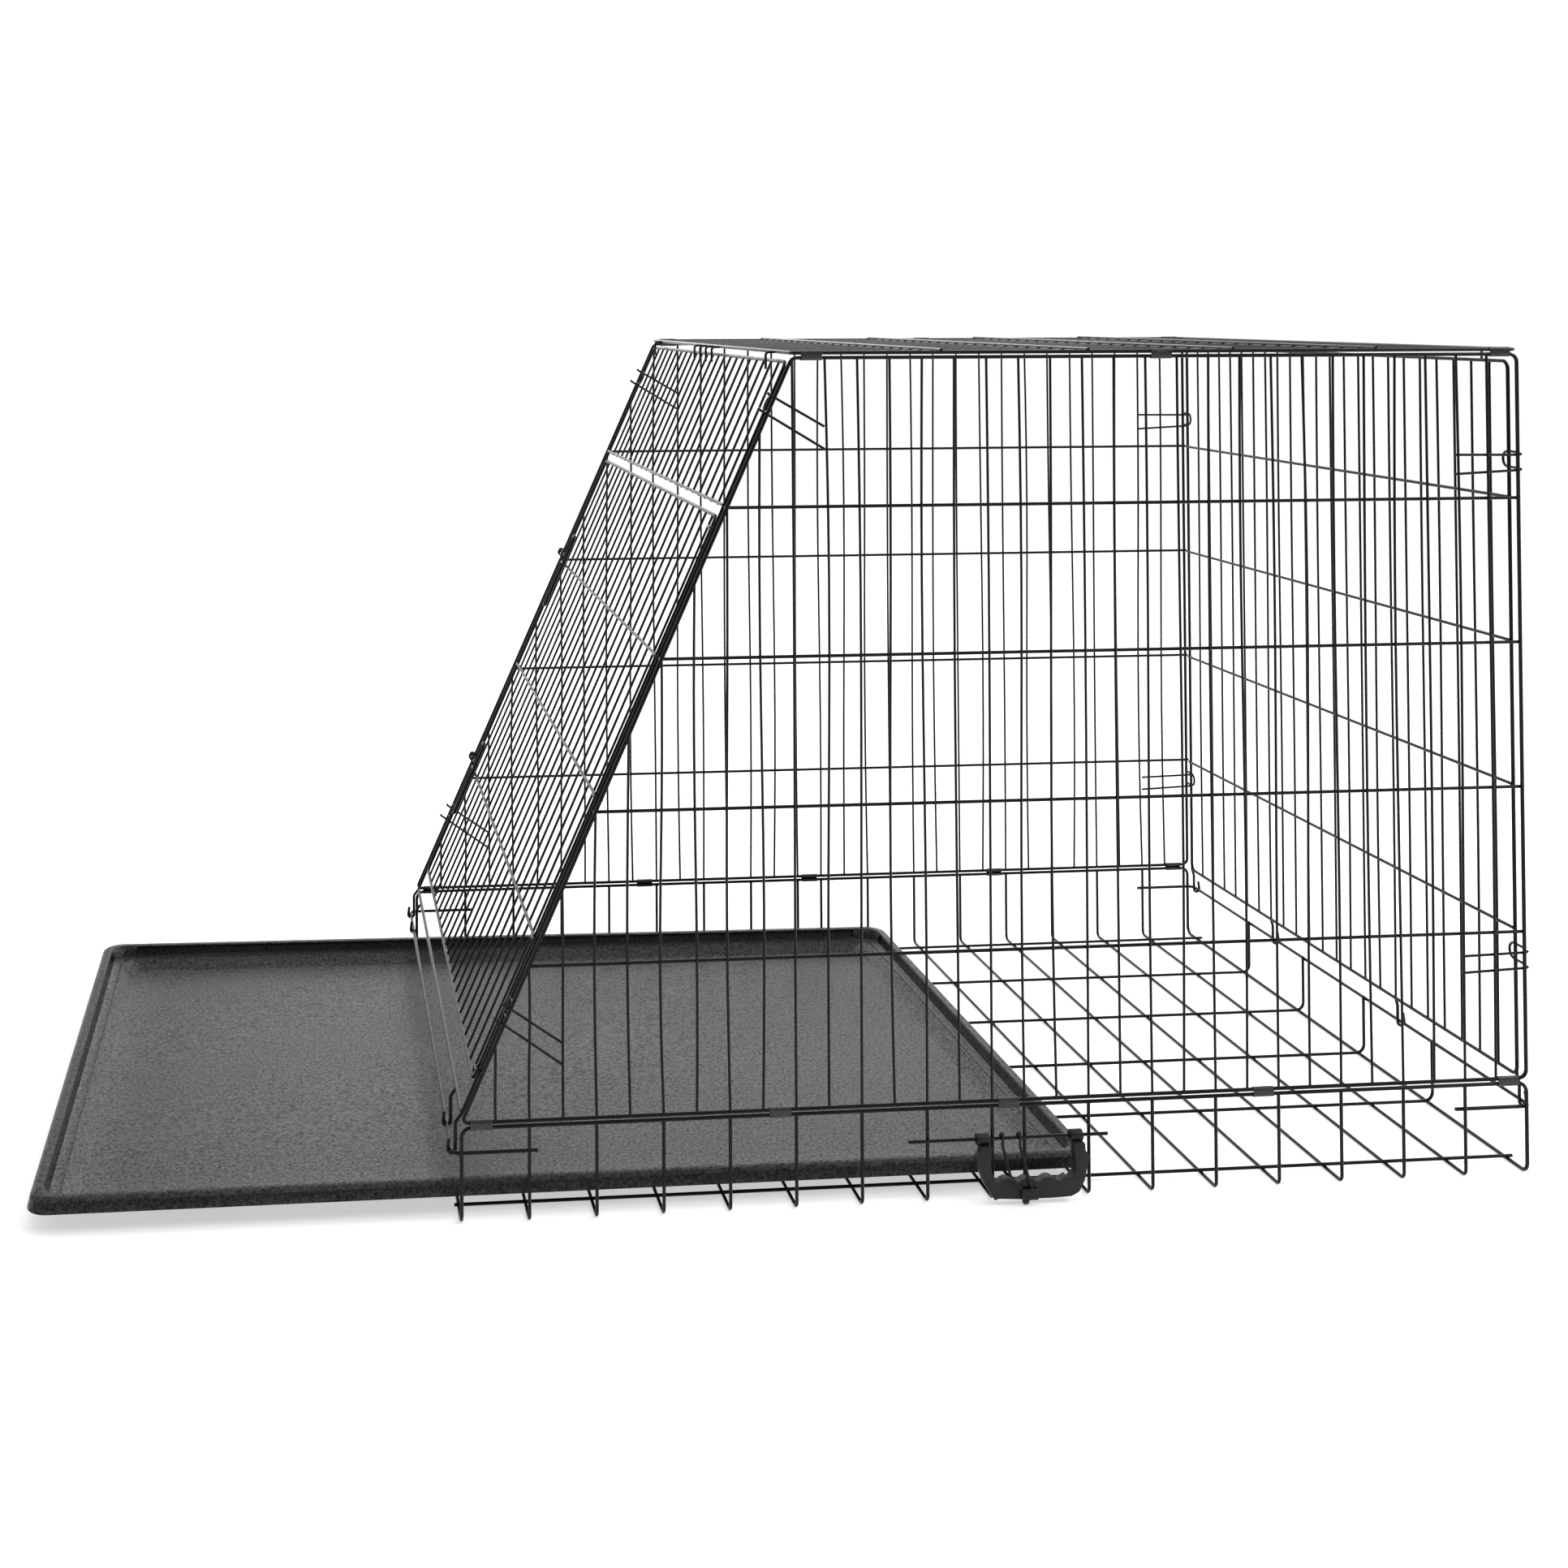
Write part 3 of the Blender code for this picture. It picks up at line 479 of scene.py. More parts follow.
def hookWire(inner, tip):
    outward = (tip - inner).normalized()
    end = tip + (outward + zAxis).normalized() * sidePanel["hookTick"]
    return bentWire([inner, tip, end], wireRadius, sidePanel["hookBend"])


def makeSide(name, node, sign):
    piece = bmesh.new()
    plane = sign * half
    bottom, top, length = cage["sideBottom"], cage["sideTop"], cage["length"]
    corners = [(0, plane, bottom), (length, plane, bottom), (length, plane, top), (slopeRun, plane, top)]
    addRodLoop(piece, corners, [sidePanel["footBend"], *[sidePanel["cornerBend"]] * 3])

    wireY, barY = plane + sign * wireOut, plane - sign * barIn
    for z in sideBars:
        startX = (z - bottom) * slopeRun / sideHeight
        over = sidePanel["barOverhang"]
        addBar(piece, (startX - over, barY, z), (length + over, barY, z))
        for x in (startX, length):
            weldBead(piece, (x, plane - sign * rodRadius / 2, z), rodBead)

    beadY = (wireY - sign * wireRadius + barY + sign * barRadius) / 2
    for number in range(1, cage["sideGaps"]):
        x = number * pitch
        end = top if x >= slopeRun - tiny else bottom + x * sideHeight / slopeRun
        sway = xAxis * sidePanel["sway"] * min(1.0, (end - bottom) / sidePanel["swayHeight"])
        addWire(piece, swayingWire(Vector((x, wireY, bottom)), Vector((x, wireY, end)), sway))
        for z in sideBars:
            if z < end - sidePanel["beadClear"]:
                weldBead(piece, (x, beadY, z), wireBead)

    for number, z, (tipX, tipZ) in sidePanel["hooks"]:
        addWire(piece, hookWire(Vector((number * pitch, barY, z)), Vector((tipX, barY, tipZ))))
    finishWires(name, piece, "cage", [node])


makeSide("nearSide", "near_side_panel", -1)
makeSide("farSide", "far_side_panel", 1)


topPanel = {
    "cornerBend": 0.007,
    "hookBend": 0.003,
    "barOverhang": 0.0005,
    "frontHooks": (2, 10, 11, 12, 13, 21),
    "backHooks": (2, 11, 13, 21),
    "frontTop": 0.670533,
    "backRodZ": 0.699,
    "hookReach": 0.00385,
}


def makeTop():
    piece = bmesh.new()
    length, z, over = cage["length"], cage["topHeight"], topPanel["barOverhang"]
    corners = [(slopeRun, -half, z), (length, -half, z), (length, half, z), (slopeRun, half, z)]
    addRodLoop(piece, corners, topPanel["cornerBend"])
    wireZ, barZ = z - wireOut, z + barIn
    step = (length - slopeRun) / cage["barGaps"]
    barAt = [slopeRun + number * step for number in range(1, cage["barGaps"])]
    for x in barAt:
        addBar(piece, (x, -half - over, barZ), (x, half + over, barZ))

    # some wires run on and turn down, to hook over the top rods of the end panels
    frontRod = onSlope(0, topPanel["frontTop"])
    gap = cage["width"] / cage["endGaps"]
    for number in range(1, cage["endGaps"]):
        y = -half + number * gap
        corners = [(slopeRun, y, wireZ), (length, y, wireZ)]
        if number in topPanel["frontHooks"]:
            leg = frontRod.x - topPanel["hookReach"]
            corners[:1] = [(leg, y, frontRod.z), (leg, y, wireZ)]
        if number in topPanel["backHooks"]:
            leg = length + topPanel["hookReach"]
            corners[-1:] = [(leg, y, wireZ), (leg, y, topPanel["backRodZ"])]
        addWire(piece, bentWire(corners, wireRadius, topPanel["hookBend"], wireSides))
        for x in barAt:
            weldBead(piece, (x, y, (wireZ + barZ) / 2), wireBead)
    finishWires("topPanel", piece, "cage", ["top_panel"])


makeTop()


# Knuckles hold both end panels to their hinge rods
knuckleShape = {
    "bend": 0.0028,
    "curl": 0.99,
    "tip": 0.0085,
    "lean": 0.0016,
    "inset": 0.0003,
    "cornerClear": 0.0105,      # an outermost knuckle leaves its rod this far above the corner
}


# Leaves an end panel's foot, drops beside the hinge rod and curls up round it
def addKnuckle(piece, number, foot, upward, hingeX, outward):
    outermost = number in (0, cage["endGaps"])
    start = [foot + upward * knuckleShape["cornerClear"], foot] if outermost else [foot]
    leg, tip = hingeX - outward * knuckleRadius, hingeX + outward * knuckleRadius
    z, y, curl = cage["hingeHeight"], foot.y, knuckleRadius * knuckleShape["curl"]
    corners = [
        *start,
        Vector((leg, y, foot.z - 2 * knuckleRadius)),
        Vector((leg, y, z - knuckleRadius)),
        Vector((tip, y, z - knuckleRadius)),
        Vector((tip - outward * knuckleShape["lean"], y, z + knuckleShape["tip"])),
    ]
    bends = [0, *[knuckleShape["bend"]] * len(start), curl, curl, 0]
    addWire(piece, bentWire(corners, barRadius, bends))


def knuckleY(number):
    inset = {0: knuckleShape["inset"], cage["endGaps"]: -knuckleShape["inset"]}
    return -endHalf + number * endPitch + inset.get(number, 0.0)


sideLoop = {
    "reach": 0.0100,
    "inside": 0.0082,
    "height": 0.0136,
}


# Round loop behind the frame rod, its two legs ending beside the hook wires
def addSideLoop(piece, middle, upward, sideways):
    rise = upward * sideLoop["height"] / 2
    inner, outer = middle - sideways * sideLoop["inside"], middle + sideways * sideLoop["reach"]
    corners = [outer + rise, inner + rise, inner - rise, outer - rise]
    addWire(piece, bentWire(corners, wireRadius, sideLoop["height"] / 2 * fullTurn, wireSides))


frontPanel = {
    "cornerBend": 0.007,
    "footRise": 0.003,
    "top": 0.6785,
    "crossBarAt": 0.547,
    "wireFoot": 0.002,
    "wireOut": -0.0009,
    "barOut": 0.0008,
    "knuckles": (0, 2, 21, 23),
    "loops": (0.0895, 0.584),
    "boltLevels": (0.41925, 0.16575),
    "boltLift": 0.0043,
    "stapleHalf": 0.0034,
    "stapleRadius": 0.001,
    "stapleBend": 0.0022,
}


def addSlopeFrame(piece, near, far, low, high):
    corners = [onSlope(near, low), onSlope(far, low), onSlope(far, high), onSlope(near, high)]
    addRodLoop(piece, corners, frontPanel["cornerBend"])


def addSlopeBar(piece, near, far, up):
    addBar(piece, onSlope(near, up, frontPanel["barOut"]), onSlope(far, up, frontPanel["barOut"]))


def addSlopeWires(piece, low, high):
    out = frontPanel["wireOut"]
    for y in grilleAt:
        addWire(piece, bentWire([onSlope(y, low, out), onSlope(y, high, out)], wireRadius, sides=wireSides))


def addStaple(piece, y, up):
    wide, low = frontPanel["stapleHalf"], frontPanel["wireOut"]
    high = frontPanel["boltLift"] + wide
    corners = [(up - wide, low), (up - wide, high), (up + wide, high), (up + wide, low)]
    points = [onSlope(y, along, out) for along, out in corners]
    addWire(piece, bentWire(points, frontPanel["stapleRadius"], frontPanel["stapleBend"], wireSides))


def makeFront():
    piece = bmesh.new()
    low, high, crossBar = frontPanel["footRise"], frontPanel["top"], frontPanel["crossBarAt"]
    addSlopeFrame(piece, -endHalf, endHalf, low, high)
    addSlopeBar(piece, -endHalf, endHalf, crossBar)
    addSlopeWires(piece, crossBar - frontPanel["wireFoot"], high)
    for number in frontPanel["knuckles"]:
        addKnuckle(piece, number, onSlope(knuckleY(number), low), slopeUp, cage["frontHingeX"], -1)
    for sign in (-1, 1):
        for rise in frontPanel["loops"]:
            addSideLoop(piece, onSlope(sign * endHalf, rise / slopeUp.z), slopeUp, yAxis * sign)
    for up in frontPanel["boltLevels"]:
        addStaple(piece, endHalf, up)
    finishWires("frontPanel", piece, "front_panel", ["front_panel"])


makeFront()


door = {
    "foot": 0.029,
    "height": 0.507,
    "near": -0.298,
    "far": 0.300,
    "barGaps": 4,
}


def makeDoor():
    piece = bmesh.new()
    low, height, near, far, gaps = door["foot"], door["height"], door["near"], door["far"], door["barGaps"]
    addSlopeFrame(piece, near, far, low, low + height)
    for level in range(1, gaps):
        addSlopeBar(piece, near, far, low + level * height / gaps)
    addSlopeWires(piece, low, low + height)

    # five loops run over the near rod of the front panel and back under it
    clear = {0: knuckleShape["cornerClear"], gaps: -knuckleShape["cornerClear"]}
    beyond = -endHalf - knuckleRadius
    for level in range(gaps + 1):
        up = low + level * height / gaps + clear.get(level, 0.0)
        corners = [
            onSlope(near + rodRadius, up, rodRadius + barRadius - weldDepth),
            onSlope(beyond, up, knuckleRadius),
            onSlope(beyond, up, -knuckleRadius),
            onSlope(-endHalf + knuckleRadius / 2, up, -knuckleRadius),
        ]
        addWire(piece, bentWire(corners, barRadius, knuckleRadius * fullTurn))
    for up in frontPanel["boltLevels"]:
        addStaple(piece, endHalf - endPitch, up)
        addStaple(piece, far, up)
    finishWires("door", piece, "door", ["door"])


bolt = {
    "radius": 0.0019,
    "reach": 0.008,
    "length": 0.039,
    "loopHeight": 0.024,
    "handleLength": 0.060,
    "handleWidth": 0.012,
    "returnDrop": 0.010,
    "bends": (0, 0.004, 0.0057, 0.0057, 0.0019, 0.0019, 0),
}


# The pin turns up into a loop beside itself, then hangs down as a narrow handle
def makeBolt(name, node, up):
    piece = bmesh.new()
    tip = endHalf + bolt["reach"]
    inner, wide = tip - bolt["length"], bolt["handleWidth"]
    low, high = up - bolt["handleLength"], up + bolt["loopHeight"]
    corners = [
        (tip, up),
        (inner, up),
        (inner, high),
        (inner - wide, high),
        (inner - 2 * wide / 3, low),
        (inner - wide / 3, low),
        (inner, up - bolt["returnDrop"]),
    ]
    points = [onSlope(y, height, frontPanel["boltLift"]) for y, height in corners]
    addWire(piece, bentWire(points, bolt["radius"], bolt["bends"]))
    finishWires(name, piece, node, [node])


makeDoor()
makeBolt("upperBolt", "upper_bolt", frontPanel["boltLevels"][0])
makeBolt("lowerBolt", "lower_bolt", frontPanel["boltLevels"][1])


backPanel = {
    "foot": 0.080,
    "top": 0.699,
    "cornerBend": 0.007,
    "sway": 0.00105,
    "knuckles": (0, 7, 16, 23),
    "loops": (0.1040, 0.5311),
}


def makeBack():
    piece = bmesh.new()
    low, high, x = backPanel["foot"], backPanel["top"], cage["length"]
    corners = [(x, -endHalf, low), (x, endHalf, low), (x, endHalf, high), (x, -endHalf, high)]
    addRodLoop(piece, corners, backPanel["cornerBend"])
    for z in sideBars:
        addBar(piece, (x - barIn, -endHalf, z), (x - barIn, endHalf, z))
    for y in grilleAt:
        foot, head = Vector((x + wireOut, y, low)), Vector((x + wireOut, y, high))
        addWire(piece, swayingWire(foot, head, yAxis * backPanel["sway"]))
        for z in sideBars:
            weldBead(piece, (x + (wireOut - barIn) / 2, y, z), wireBead)
    for number in backPanel["knuckles"]:
        addKnuckle(piece, number, Vector((x, knuckleY(number), low)), zAxis, cage["backHingeX"], 1)
    for sign in (-1, 1):
        for rise in backPanel["loops"]:
            addSideLoop(piece, Vector((x, sign * endHalf, cage["sideBottom"] + rise)), zAxis, yAxis * sign)
    finishWires("backPanel", piece, "back_panel", ["back_panel"])


makeBack()


# Clips along the sides stand at counts of the upright wires' pitch, or this far from a corner
clip = {
    "length": 0.018,
    "sheet": 0.0008,
    "inside": 0.0022,
    "stack": 0.0041,
    "lip": 0.0012,
    "foldSteps": 8,
    "alongBottom": (9.5, 16.5, 24.5),
    "alongTop": (21.5,),
    "fromCorner": 0.0163,
    "lastFromCorner": 0.0173,
}


# Draw a strip of sheet on, straight up or down to a height
def drawStrip(piece, edges, height):
    grown = bmesh.ops.extrude_edge_only(piece, edges=edges)["geom"]
    moved = vertsIn(grown)
    bmesh.ops.translate(piece, vec=(0, 0, height - moved[0].co.z), verts=moved)
    return [*edgesIn(grown), *moved]


# One strip of sheet, folded over the upper rod, down the outside and under the lower rod
def makeClip(node, x, sign, height):
    piece = bmesh.new()
    rise, lip, steps = clip["stack"] / 2, clip["lip"], clip["foldSteps"]
    ends = [piece.verts.new((x + side * clip["length"] / 2, -clip["inside"], lip)) for side in (-1, 1)]
    edges = [piece.edges.new(ends)]
    for level in (rise, -rise):
        strip = drawStrip(piece, edges, level)
        spun = bmesh.ops.spin(piece, geom=strip, cent=(0, 0, level), axis=xAxis, angle=-pi, steps=steps)
        edges = edgesIn(spun["geom_last"])
    drawStrip(piece, edges, -lip)
    bmesh.ops.remove_doubles(piece, verts=piece.verts, dist=tiny)
    bmesh.ops.recalc_face_normals(piece, faces=piece.faces)
    bmesh.ops.solidify(piece, geom=piece.faces[:], thickness=clip["sheet"])
    bmesh.ops.scale(piece, vec=(1, sign, 1), verts=piece.verts)
    bmesh.ops.translate(piece, vec=(0, sign * half, height), verts=piece.verts)
    finishPiece(node + "Fold", piece, "cage", clipFinish, [node], sharp=35)


def makeClips():
    length, rise, corner = cage["length"], clip["stack"] / 2, clip["fromCorner"]
    low = [corner, *[count * pitch for count in clip["alongBottom"]], length - clip["lastFromCorner"]]
    high = [slopeRun + corner, *[count * pitch for count in clip["alongTop"]], length - corner]
    for side, sign in (("near", -1), ("far", 1)):
        for number, x in enumerate(low, 1):
            makeClip(f"{side}_bottom_clip_{number}", x, sign, cage["rimHeight"] + rise)
        for number, x in enumerate(high, 1):
            makeClip(f"{side}_top_clip_{number}", x, sign, cage["sideTop"] + rise)


makeClips()


# The profile goes inwards from the rim, each step with its width and its rise
tray = {
    "length": 0.895,
    "width": 0.610,
    "backX": 0.542,
    "rest": 0.0061135,
    "corner": 0.018,
    "cornerSteps": 8,
    "lipLean": 0.002,
    "lipBottom": 0.0105,
    "edgeHeight": 0.019,
    "sheet": 0.0022,
    "rounding": 0.0008,
    "roundingAngle": 28,
    "twist": 0.009,
    "twistCuts": (12, 8),
    "profile": [
        (0.0020, 0.0020),
        (0.0020, 0.0010),
        (0.0050, 0.0),
        (0.0012, -0.0012),
        (0.0030, -0.0080),
        (0.0012, -0.0006),
        (0.0070, 0.0),
        (0.0008, -0.0010),
        (0.0010, 0.0),
        (0.0120, -0.0081),
        (0.0030, -0.0007),
    ],
    "wallHeights": (0.010, 0.020),
    "wallTilt": 0.6,
    "leastWall": 1e-4,          # square metres
    "leastSlot": 1e-3,
    "slotFromEnd": 0.038,
    "slotFromSide": 0.022,
    "slotEdge": 0.0006,
    "slotDepth": 0.0024,
}


# Steep faces of the tray that look inwards, from a certain area up
def innerWalls(piece, leastArea):
    low, high = tray["wallHeights"]
    large = [face for face in piece.faces if face.calc_area() > leastArea]
    steep = [face for face in large if abs(face.normal.z) < tray["wallTilt"]]
    walls = [face for face in steep if low < face.calc_center_median().z < high]
    return [face for face in walls if face.normal.dot(face.calc_center_median()) < 0]


def makeTray():
    piece = bmesh.new()
    bmesh.ops.create_grid(piece, x_segments=1, y_segments=1, size=0.5)
    length, width, lean = tray["length"], tray["width"], tray["lipLean"]
    rimLength, rimWidth = length - 2 * lean, width - 2 * lean
    bmesh.ops.scale(piece, vec=(rimLength, rimWidth, 1), verts=piece.verts)
    bmesh.ops.translate(piece, vec=(0, 0, tray["edgeHeight"]), verts=piece.verts)
    bmesh.ops.bevel(
        piece, geom=piece.verts[:], offset=tray["corner"], segments=tray["cornerSteps"],
        profile=0.5, affect="VERTICES", material=-1,
    )
    top = piece.faces[:][0]
    if top.normal.z < 0:
        top.normal_flip()

    # the lip round the outside leans out towards its bottom edge
    border = [edge for edge in piece.edges if edge.is_boundary]
    lip = vertsIn(bmesh.ops.extrude_edge_only(piece, edges=border)["geom"])
    bmesh.ops.translate(piece, vec=(0, 0, tray["lipBottom"] - tray["edgeHeight"]), verts=lip)
    bmesh.ops.scale(piece, vec=(length / rimLength, width / rimWidth, 1), verts=lip)

    # rim, wall, ledge and floor, one step inwards at a time
    for inward, up in tray["profile"]:
        grown = bmesh.ops.extrude_face_region(piece, geom=[top])["geom"]
        bmesh.ops.delete(piece, geom=[top], context="FACES_ONLY")
        top = facesIn(grown)[0]
        inner = (1 - 2 * inward / rimLength, 1 - 2 * inward / rimWidth, 1)
        rimLength, rimWidth = rimLength - 2 * inward, rimWidth - 2 * inward
        bmesh.ops.scale(piece, vec=inner, verts=top.verts[:])
        bmesh.ops.translate(piece, vec=(0, 0, up), verts=top.verts[:])

    # long slots pressed into the wall, which stop before the corners
    endX, sideY = length / 2 - tray["slotFromEnd"], width / 2 - tray["slotFromSide"]
    for axis, place in ((xAxis, endX), (xAxis, -endX), (yAxis, sideY), (yAxis, -sideY)):
        walls = [face for face in innerWalls(piece, tray["leastWall"]) if abs(face.normal.dot(axis)) < 0.1]
        geom = list(dict.fromkeys(item for face in walls for item in (face, *face.edges, *face.verts)))
        bmesh.ops.bisect_plane(piece, geom=geom, plane_co=axis * place, plane_no=axis)
    slots = innerWalls(piece, tray["leastSlot"])
    bmesh.ops.inset_individual(piece, faces=slots, thickness=tray["slotEdge"], depth=-tray["slotDepth"])
    print("pressed", len(slots), "slots")

    # the thin sheet stands a little twisted, its far outer corner highest
    for axis, cuts, span in zip((xAxis, yAxis), tray["twistCuts"], (length, width)):
        for cut in range(1, cuts):
            geom = [*piece.verts, *piece.edges, *piece.faces]
            bmesh.ops.bisect_plane(piece, geom=geom, plane_co=axis * (cut / cuts - 0.5) * span, plane_no=axis)
    for vert in piece.verts:
        outward, across = 0.5 - vert.co.x / length, 0.5 + vert.co.y / width
        vert.co.z += tray["twist"] * max(0.0, outward) * max(0.0, across)

    bmesh.ops.translate(piece, vec=(tray["backX"] - length / 2, 0, tray["rest"]), verts=piece.verts)
    thing = finishPiece("trayMoulding", piece, "tray", trayFinish, ["tray"], sharp=40)
    sheet = thing.modifiers.new("sheet", "SOLIDIFY")
    sheet.thickness = tray["sheet"]
    sheet.offset = -1
    edge = thing.modifiers.new("rounding", "BEVEL")
    edge.width = tray["rounding"]
    edge.segments = 3
    edge.limit_method = "ANGLE"
    edge.angle_limit = radians(tray["roundingAngle"])


makeTray()


# Outline in millimetres from the handle's wire: down the left, along below, up the right and in to the grip
handle = {
    "centreX": 0.477,
    "front": -0.3308135,
    "back": -0.3218135,
    "neckAt": 0.0402,
    "outline": [
        (-44.0, -3.5), (-44.6, -9.0), (-47.6, -13.5), (-47.4, -17.0), (-41.6, -34.0), (-32.6, -48.0),
        (-30.6, -46.4), (-10.7, -47.6), (17.3, -47.6), (33.2, -47.0), (39.9, -43.6), (44.6, -34.5),
        (48.4, -17.0), (48.6, -13.0), (45.4, -10.2), (45.4, -3.5), (36.4, -3.5), (36.0, -12.0),
        (37.9, -21.3), (36.0, -28.6), (31.2, -33.2),
    ],
    "innerLeft": [(-31.2, -33.2), (-35.5, -24.0), (-36.0, -15.8), (-34.6, -3.5)],
    "hollows": 3.5,
    "hollowCuts": 34,
    "wave": 0.0017,
    "waveDrop": 0.0004,
    "turnRadius": 0.0022,
    "rimRadius": 0.0011,
    "eyeRadius": 0.0049,
    "eyeWidth": 0.0110,
    "eyeRim": 0.0009,
}


def inHandle(x, z):
    return Vector((handle["centreX"] + x / 1000, handle["front"], floorBasket["handleWireAt"][1] + z / 1000))


def roundEdges(piece, edges, radius, clamp=False):
    bmesh.ops.bevel(
        piece, geom=edges, offset=radius, segments=3, profile=0.5, affect="EDGES", material=-1,
        clamp_overlap=clamp,
    )


def makeHandle():
    piece = bmesh.new()
    corners = [piece.verts.new(inHandle(*point)) for point in [*handle["outline"], *handle["innerLeft"]]]
    piece.faces.new(corners)
    turns = [corner.co.copy() for corner in corners]

    # the grip's upper edge waves between the fingers
    gripEnds = corners[len(handle["outline"]) - 1], corners[len(handle["outline"])]
    right, left = [end.co.x for end in gripEnds]
    cut = bmesh.ops.subdivide_edges(piece, edges=[piece.edges.get(gripEnds)], cuts=handle["hollowCuts"])
    for vert in vertsIn(cut["geom_inner"]):
        share = (vert.co.x - left) / (right - left)
        vert.co.z += handle["wave"] * (1 - cos(2 * pi * handle["hollows"] * share)) - handle["waveDrop"]

    # round its corners, give it depth, then round the rims
    kept = [vert for vert in piece.verts if min((vert.co - turn).length for turn in turns) < tiny]
    bmesh.ops.bevel(
        piece, geom=kept, offset=handle["turnRadius"], segments=4, profile=0.5, affect="VERTICES",
        material=-1, clamp_overlap=True,
    )
    grown = bmesh.ops.extrude_face_region(piece, geom=piece.faces[:])["geom"]
    bmesh.ops.translate(piece, vec=(0, handle["back"] - handle["front"], 0), verts=vertsIn(grown))
    bmesh.ops.recalc_face_normals(piece, faces=piece.faces)
    rims = [edge for edge in piece.edges if edge.calc_face_angle(0) > sharpTurn]
    rims = [edge for edge in rims if abs((edge.verts[0].co - edge.verts[1].co).y) < tiny]
    roundEdges(piece, rims, handle["rimRadius"], True)

    # eyes round the handle wire
    radius = handle["eyeRadius"]
    for side in (-1, 1):
        eye = bmesh.new()
        bmesh.ops.create_cone(
            eye, cap_ends=True, segments=24, radius1=radius, radius2=radius, depth=handle["eyeWidth"]
        )
        rings = [edge for edge in eye.edges if edge.calc_face_angle(0) > sharpTurn]
        roundEdges(eye, rings, handle["eyeRim"])
        at = (handle["centreX"] + side * handle["neckAt"], *floorBasket["handleWireAt"])
        place = Matrix.Translation(at) @ Matrix.Rotation(pi / 2, 4, "Y")
        bmesh.ops.transform(eye, matrix=place, verts=eye.verts)
        addWire(piece, eye)
    finishPiece("carryHandle", piece, "handle", handleFinish, ["handle"], sharp=40)


# Two wires hook over the handle's wire and lean together down to a small block
clasp = {
    "wire": 0.00118,
    "wiresAt": (0.4532, 0.4681),
    "wiresLow": (0.4700, 0.4766),
    "y": -0.3322635,
    "hookRadius": 0.00305,
    "hookEnd": 0.002,
    "neckDrop": 0.006,
    "neckBend": 0.006,
    "kneeAside": 0.0037,
    "kneeDrop": 0.027,
    "kneeBend": 0.004,
    "beadRadius": 0.0021,
    "beadLift": 0.0006,
    "beadOut": 0.00122,
    "blockAt": (0.4733, -0.3329, 0.0094),
    "blockSize": (0.0140, 0.0038, 0.0090),
    "blockRim": 0.0008,
    "tipAt": (0.4698, -0.3329, 0.0039),
    "tipSize": (0.0032, 0.0017, 0.0030),
}


def makeClasp():
    piece = bmesh.new()
    y, z = floorBasket["handleWireAt"]
    hook, knee = clasp["hookRadius"], clasp["kneeDrop"]
    for high, low in zip(clasp["wiresAt"], clasp["wiresLow"]):
        corners = [
            (high, y + hook, z - clasp["hookEnd"]),
            (high, y + hook, z + hook),
            (high, y - hook, z + hook),
            (high, y - hook, z - clasp["neckDrop"]),
            (high + clasp["kneeAside"], clasp["y"], z - knee),
            (low, clasp["y"], clasp["blockAt"][2]),
        ]
        bends = [0, hook * fullTurn, hook * fullTurn, clasp["neckBend"], clasp["kneeBend"], 0]
        addWire(piece, bentWire(corners, clasp["wire"], bends))
        weldBead(piece, (high, y - clasp["beadOut"], z + hook + clasp["beadLift"]), clasp["beadRadius"])
    block = bmesh.new()
    place = Matrix.Translation(clasp["blockAt"]) @ Matrix.Diagonal((*clasp["blockSize"], 1))
    bmesh.ops.create_cube(block, size=1.0, matrix=place)
    roundEdges(block, block.edges[:], clasp["blockRim"])
    addWire(piece, block)
    tip = bmesh.new()
    place = Matrix.Translation(clasp["tipAt"]) @ Matrix.Diagonal((*clasp["tipSize"], 1))
    bmesh.ops.create_uvsphere(tip, u_segments=16, v_segments=8, radius=1.0, matrix=place)
    addWire(piece, tip)
    finishPiece("claspWires", piece, "handle", handleFinish, ["handle_clasp"], sharp=45)


makeHandle()
makeClasp()


# Pale floor that glows a little, a room that is dark in front, and three soft lamps:
# each with its place, what it looks at, its size and its power
studio = {
    "floorSize": 30,
    "floorColour": (0.62, 0.62, 0.62),
    "floorRoughness": 0.9,
    "floorSpecular": 0.1,
    "floorGlow": 0.55,
    "surround": 1.05,
    "frontRoom": 0.10,
    "ceiling": 0.75,
    "backFrom": (-0.15, 0.15),
    "ceilingFrom": (0.45, 0.85),
    "lamps": {
        "softBoxAbove": ((0.3, -0.6, 3.4), (0.3, 0.1, 0), (3.6, 3.6), 30),
        "stripLightRight": ((3.0, -0.6, 2.7), (0.5, -0.2, 0.3), (4.0, 0.9), 100),
        "softBoxBehind": ((0.6, 3.6, 2.4), (0.2, 0, 0.2), (3.0, 3.0), 40),
    },
}


def makeGround():
    room = bmesh.new()
    bmesh.ops.create_grid(room, x_segments=1, y_segments=1, size=studio["floorSize"])
    mesh = bpy.data.meshes.new("paleFloor")
    room.to_mesh(mesh)
    room.free()
    ground = bpy.data.objects.new("paleFloor", mesh)
    bpy.context.scene.collection.objects.link(ground)
    paper, shader, _ = startMaterial("palePaper")
    shader.inputs["Base Color"].default_value = (*studio["floorColour"], 1)
    shader.inputs["Roughness"].default_value = studio["floorRoughness"]
    shader.inputs["Specular IOR Level"].default_value = studio["floorSpecular"]
    shader.inputs["Emission Color"].default_value = (1, 1, 1, 1)
    shader.inputs["Emission Strength"].default_value = studio["floorGlow"]
    mesh.materials.append(paper)


